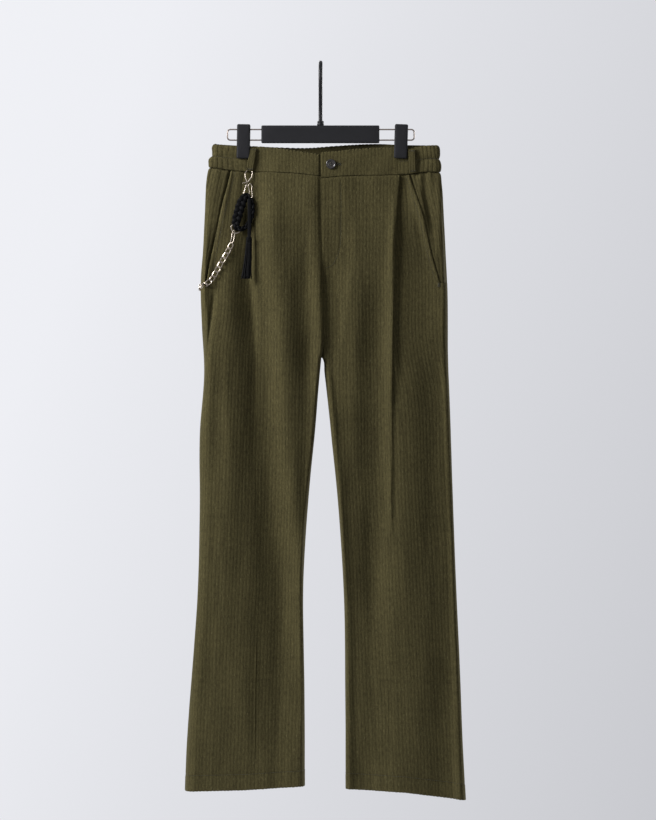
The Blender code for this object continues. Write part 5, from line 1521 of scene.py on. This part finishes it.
def metalTrim():
    # a bent clasp with its lever, a turned swivel and three wire rings
    lift = trim["pleatLift"]
    path = through(inFront(trim["clasp"], trim["clasp"]["stand"]), 96, True)
    thick = 0.88 * mm + swell(path[:, 2], -186 * mm, 0.3 * mm, 4 * mm)
    lever = through(inFront(trim["lever"], lift + 5.6 * mm), 14)
    parts = [tube(path, thick, towardsEye, 12, True),
             tube(lever, np.linspace(1.0, 0.75, 14) * mm, towardsEye, 10)]
    newPiece("chrome_clasp", parts, brightSteel, ["clasp"])
    share = np.linspace(0, 1, 40)
    thick = 1.0 + swell(share, 0.16, 0.65, 0.07) + swell(share, 0.36, 0.45, 0.05)
    thick = thick + swell(share, 0.9, 0.3, 0.08)
    swivel = tube(through(inFront(trim["swivel"], lift + 2.6 * mm), 40), thick * mm, towardsEye, 14)
    newPiece("chrome_swivel", [swivel], brightSteel, ["clasp_swivel"])
    ring = through(inFront(trim["tasselRing"], lift + 5.4 * mm), 80, True)
    newPiece("wire_tassel_ring", [tube(ring, 0.6 * mm, towardsEye, 8, True)], brightSteel,
             ["tassel_ring"])
    ring = through(inFront(trim["fobRing"], lift + 2.4 * mm), 60, True)
    longLink = through(inFront(trim["longLink"], lift + trim["longLink"]["stand"]), 60, True)
    parts = [tube(ring, 0.9 * mm, towardsEye, 10, True), tube(longLink, 0.8 * mm, towardsEye, 10, True)]
    newPiece("wire_fob_ring", parts, brightSteel, ["fob_ring"])


def chainPath():
    # a smooth line of places on the right leg, and which way the cloth faces at each
    places, facings = [], []
    for face, rows in (("front", trim["chainFront"]), ("back", trim["chainBack"])):
        for place, level, stand in zip(*rows.values()):
            section = Section("right", face, float(level))
            width = np.array([section.widthAt(place) if face == "front" else section.width[-1] - place])
            places.append(section.point(width, stand)[0])
            facings.append([-np.interp(width[0], section.width, section.normal[:, 0]),
                            np.interp(width[0], section.width, section.normal[:, 1]), 0.0])
    return through(np.hstack([places, facings]), 400)


def makeChain():
    # stadium links at an inner length's pitch, tilted to one side and the other in turn
    link, fine = trim["link"], chainPath()
    at = runLength(fine[:, :3])
    count = int(at[-1] / (link["length"] - 2 * link["wire"]))
    where = (np.arange(count) + 0.5) * at[-1] / count

    def read(places, first=0):
        return np.column_stack([np.interp(places, at, fine[:, first + k]) for k in range(3)])

    centre = read(where)
    along = unit(read(where + 1 * mm) - read(where - 1 * mm))
    across = unit(np.cross(along, unit(read(where, 3))))
    out = np.cross(across, along)
    tilt = np.radians(link["tilt"]) * np.where(np.arange(count) % 2, 1, -1)[:, None]
    plane = across * np.cos(tilt) + out * np.sin(tilt)
    normal = np.cross(plane, along)
    turn = np.linspace(0, 2 * pi, link["steps"], endpoint=False)
    sides = np.linspace(0, 2 * pi, link["sides"], endpoint=False)
    wire = link["wire"] / 2
    radius = link["width"] / 2 - wire
    straight = link["length"] / 2 - wire - radius
    bend = radius + wire * np.cos(sides)
    ringU = (straight * np.sign(np.cos(turn)))[:, None] + np.cos(turn)[:, None] * bend
    ringV = np.sin(turn)[:, None] * bend
    ringN = np.broadcast_to(wire * np.sin(sides), ringU.shape)
    points = centre[:, None, None] + ringU[..., None] * along[:, None, None]
    points = points + ringV[..., None] * plane[:, None, None] + ringN[..., None] * normal[:, None, None]
    base = (np.arange(count) * ringU.size)[:, None, None]
    faces = (gridFaces(link["steps"], link["sides"], True, True)[None] + base).reshape(-1, 4).tolist()
    newPiece("chrome_cable_chain", [(points.reshape(-1, 3), faces)], brightSteel, ["chain"])
    print("chain length", round(float(at[-1]), 3), "links", count)


def braidedFob():
    # three flat cords: each one's place across is sin(t) and its depth sin(2t), a third of a turn apart
    count = 360
    centre = inFront(trim["fob"], trim["pleatLift"] + 5.2 * mm)
    fine = through(np.column_stack([centre, trim["fob"]["width"]]), count, True)
    path, width = fine[:, :3], fine[:, 3]
    across = unit(np.cross(np.roll(path, -1, 0) - np.roll(path, 1, 0), towardsEye))
    share = np.linspace(0, 1, count, endpoint=False)
    parts = []
    for k in range(3):
        t = 2 * pi * (5 * share + k / 3)
        strand = path + across * (np.sin(t) * width * 0.27)[:, None]
        strand = strand + towardsEye * (np.sin(2 * t) * 1.7 * mm)[:, None]
        parts.append(sweep(strand, oval(width * 0.235, np.full(count, 1.8 * mm)), towardsEye, True))
    newPiece("leather_braided_fob", parts, blackLeather, ["braided_fob"], 70)


def makeTassel():
    # a folded strap, a wrapped head, and separate strands that spread as they fall
    rows = trim["tassel"]
    centre = inFront(rows, trim["pleatLift"] + 9.6 * mm + rows["depth"] / 2)
    parts = []
    for shift in (-0.55 * mm, 0.55 * mm):
        path = through(centre[:4] + np.array([0, shift, 0]), 40)
        parts.append(sweep(path, oval(np.full(40, 2.8 * mm), np.full(40, 0.5 * mm), 14), towardsEye))
    turn = np.linspace(0, 2 * pi, 28, endpoint=False)
    for k in range(4):
        middle = np.array([centre[3, 0], centre[3, 1], (-278 - 1.7 * k) * mm])
        circle = np.column_stack([3.9 * np.cos(turn), 2.3 * np.sin(turn), 0.25 * np.sin(turn + k)]) * mm
        parts.append(tube(middle + circle, 0.95 * mm, (0, 0, 1), 8, True))
    chance = np.random.default_rng(7)
    count = trim["strands"]
    angle, spread = chance.uniform(0, 2 * pi, count), np.sqrt(chance.uniform(0, 1, count))
    length = 1 - 0.13 * chance.uniform(0, 1, count) ** 2
    kink = chance.uniform(-1, 1, (count, 2)) * (0.8 * mm, 0.5 * mm)
    share = np.linspace(0, 1, 11)
    spreadX = np.cos(angle) * spread * 0.92
    spreadY = np.sin(angle) * spread * 0.42
    widths = np.interp(share, np.linspace(0, 1, 4), rows["width"][3:]) / 2
    top = through(centre[3:], 50)
    middle = np.column_stack([np.interp(share, np.linspace(0, 1, 50), top[:, k]) for k in range(3)])
    for k in range(count):
        s = share * length[k]
        path = np.column_stack([np.interp(s, share, middle[:, axis]) for axis in range(3)])
        path[:, 0] += spreadX[k] * widths + kink[k, 0] * np.sin(2.2 * pi * s) * s
        path[:, 1] += spreadY[k] * widths + kink[k, 1] * np.sin(2 * pi * s) * s
        parts.append(sweep(path, oval(np.full(11, 0.62 * mm), np.full(11, 0.42 * mm), 4), towardsEye))
    newPiece("leather_tassel", parts, blackLeather, ["tassel"], 50)


metalTrim()
makeChain()
braidedFob()
makeTassel()
print("chain set made")


# The clip hanger

hanger = metres({
    "hookWire": 6.4, "crownRadius": 16.5, "tipDrop": 12, "barTop": -97.6,
    "barSize": np.array([189, 12, 28.3]), "barMiddle": -0.2, "slideWire": 2.3, "slideHigh": -104,
    "slideLow": -121, "slideRight": -148.8, "slideLeft": 149.8, "slideCorner": 4.5,
    "jawSize": np.array([21.4, 5, 55]), "jawFace": 3.5, "jawTop": -95.7, "coil": 2.6, "coilWire": 0.5,
})


def arcPoints(centre, radius, start, end, count, plane):
    # part of a circle in the plane of two axes, from one angle to another in degrees
    angles = np.radians(np.linspace(start, end, count))
    u, v = radius * np.cos(angles), radius * np.sin(angles)
    zero = np.zeros(count)
    return np.asarray(centre) + np.column_stack({"yz": (zero, u, v), "xz": (u, zero, v)}[plane])


def makeHook():
    # one wire: a short tip, half a circle over the rail and a stem that eases in over the bar's middle
    crown, drop = hanger["crownRadius"], hanger["tipDrop"]
    radius = crown + hanger["hookWire"] / 2
    tip = np.array([[0, radius - 0.4 * mm, -crown - drop], [0, radius - 0.1 * mm, -crown - drop / 2]])
    low, high = hanger["barTop"] + 8 * mm, -crown - 6 * mm
    share = np.linspace(0, 1, 30)
    stem = np.column_stack([np.zeros(30), -radius * (1 - ease(share * 1.25)), high + (low - high) * share])
    path = np.vstack([tip, arcPoints((0, 0, -crown), radius, 0, 180, 48, "yz"), stem])
    newPiece("coated_steel_hook", [tube(path, hanger["hookWire"] / 2, (1, 0, 0), 20)], blackSteel,
             ["hook"])
    collar = turned([(0, 0), (5.2, 0), (5.6, 0.4), (5.6, 2.2), (5.0, 2.8), (5.0, 3.6), (5.5, 4.2), (5.4, 5.8),
                     (4.6, 6.8), (3.5, 7.0), (0, 7.0)], (0, 0, hanger["barTop"] + 0.3 * mm), "z", 36)
    newPiece("coated_steel_collar", [collar], blackSteel, ["hook_collar"])


def slideWire(side):
    # a wire bent back on itself: out of the bar, round two corners and in again
    way = signOf(side)
    start = way * (hanger["barSize"][0] / 2 + 0.4 * mm) + hanger["barMiddle"]
    end = hanger["slideLeft" if way > 0 else "slideRight"]
    corner, top, bottom = hanger["slideCorner"], hanger["slideHigh"], hanger["slideLow"]
    bend, straight = end - way * corner, end - way * corner * 1.2
    turns = ((90, 0), (0, -90)) if way > 0 else ((90, 180), (180, 270))
    path = np.vstack([np.linspace([start, 0, top], [straight, 0, top], 12),
                      arcPoints((bend, 0, top - corner), corner, *turns[0], 12, "xz"),
                      arcPoints((bend, 0, bottom + corner), corner, *turns[1], 12, "xz"),
                      np.linspace([straight, 0, bottom], [start, 0, bottom], 12)])
    newPiece("nickel_slide_wire_" + side, [tube(path, hanger["slideWire"] / 2, towardsEye, 14)], nickelWire,
             ["slide_wire_" + side])


def makeClip(side):
    # two jaws that close on the waistband, and the coil of their spring
    x, tilt = clips[side]
    jaw = hanger["jawSize"]
    parts = []
    for face in (-1, 1):
        place = np.array([x, face * (hanger["jawFace"] + jaw[1] / 2), hanger["jawTop"] - jaw[2] / 2])
        parts.append(softBox(jaw, place, 2.6 * mm, tilt, 0.35 * mm))
    newPiece("clip_" + side, parts, blackPlastic,
             ["clip_" + side + "_front", "clip_" + side + "_back"], 35)
    t = np.linspace(0, 1, 200)
    turn = 2 * pi * 9 * t
    z = (hanger["slideHigh"] + hanger["slideLow"]) / 2
    coil = np.column_stack([x + (12 * t - 6) * mm, hanger["coil"] * np.cos(turn),
                            z + hanger["coil"] * np.sin(turn)])
    newPiece("nickel_clip_spring_" + side, [tube(coil, hanger["coilWire"], (1, 0, 0), 7)], nickelWire,
             ["clip_" + side + "_spring"])


def makeHanger():
    makeHook()
    centre = (hanger["barMiddle"], 0, hanger["barTop"] - hanger["barSize"][2] / 2)
    bar = softBox(hanger["barSize"], centre, 2.2 * mm, crown=-0.25 * mm)
    newPiece("moulded_bar", [bar], blackPlastic, ["bar"], 35)
    for side in ("right", "left"):
        slideWire(side)
        makeClip(side)


makeHanger()
print("hanger made")
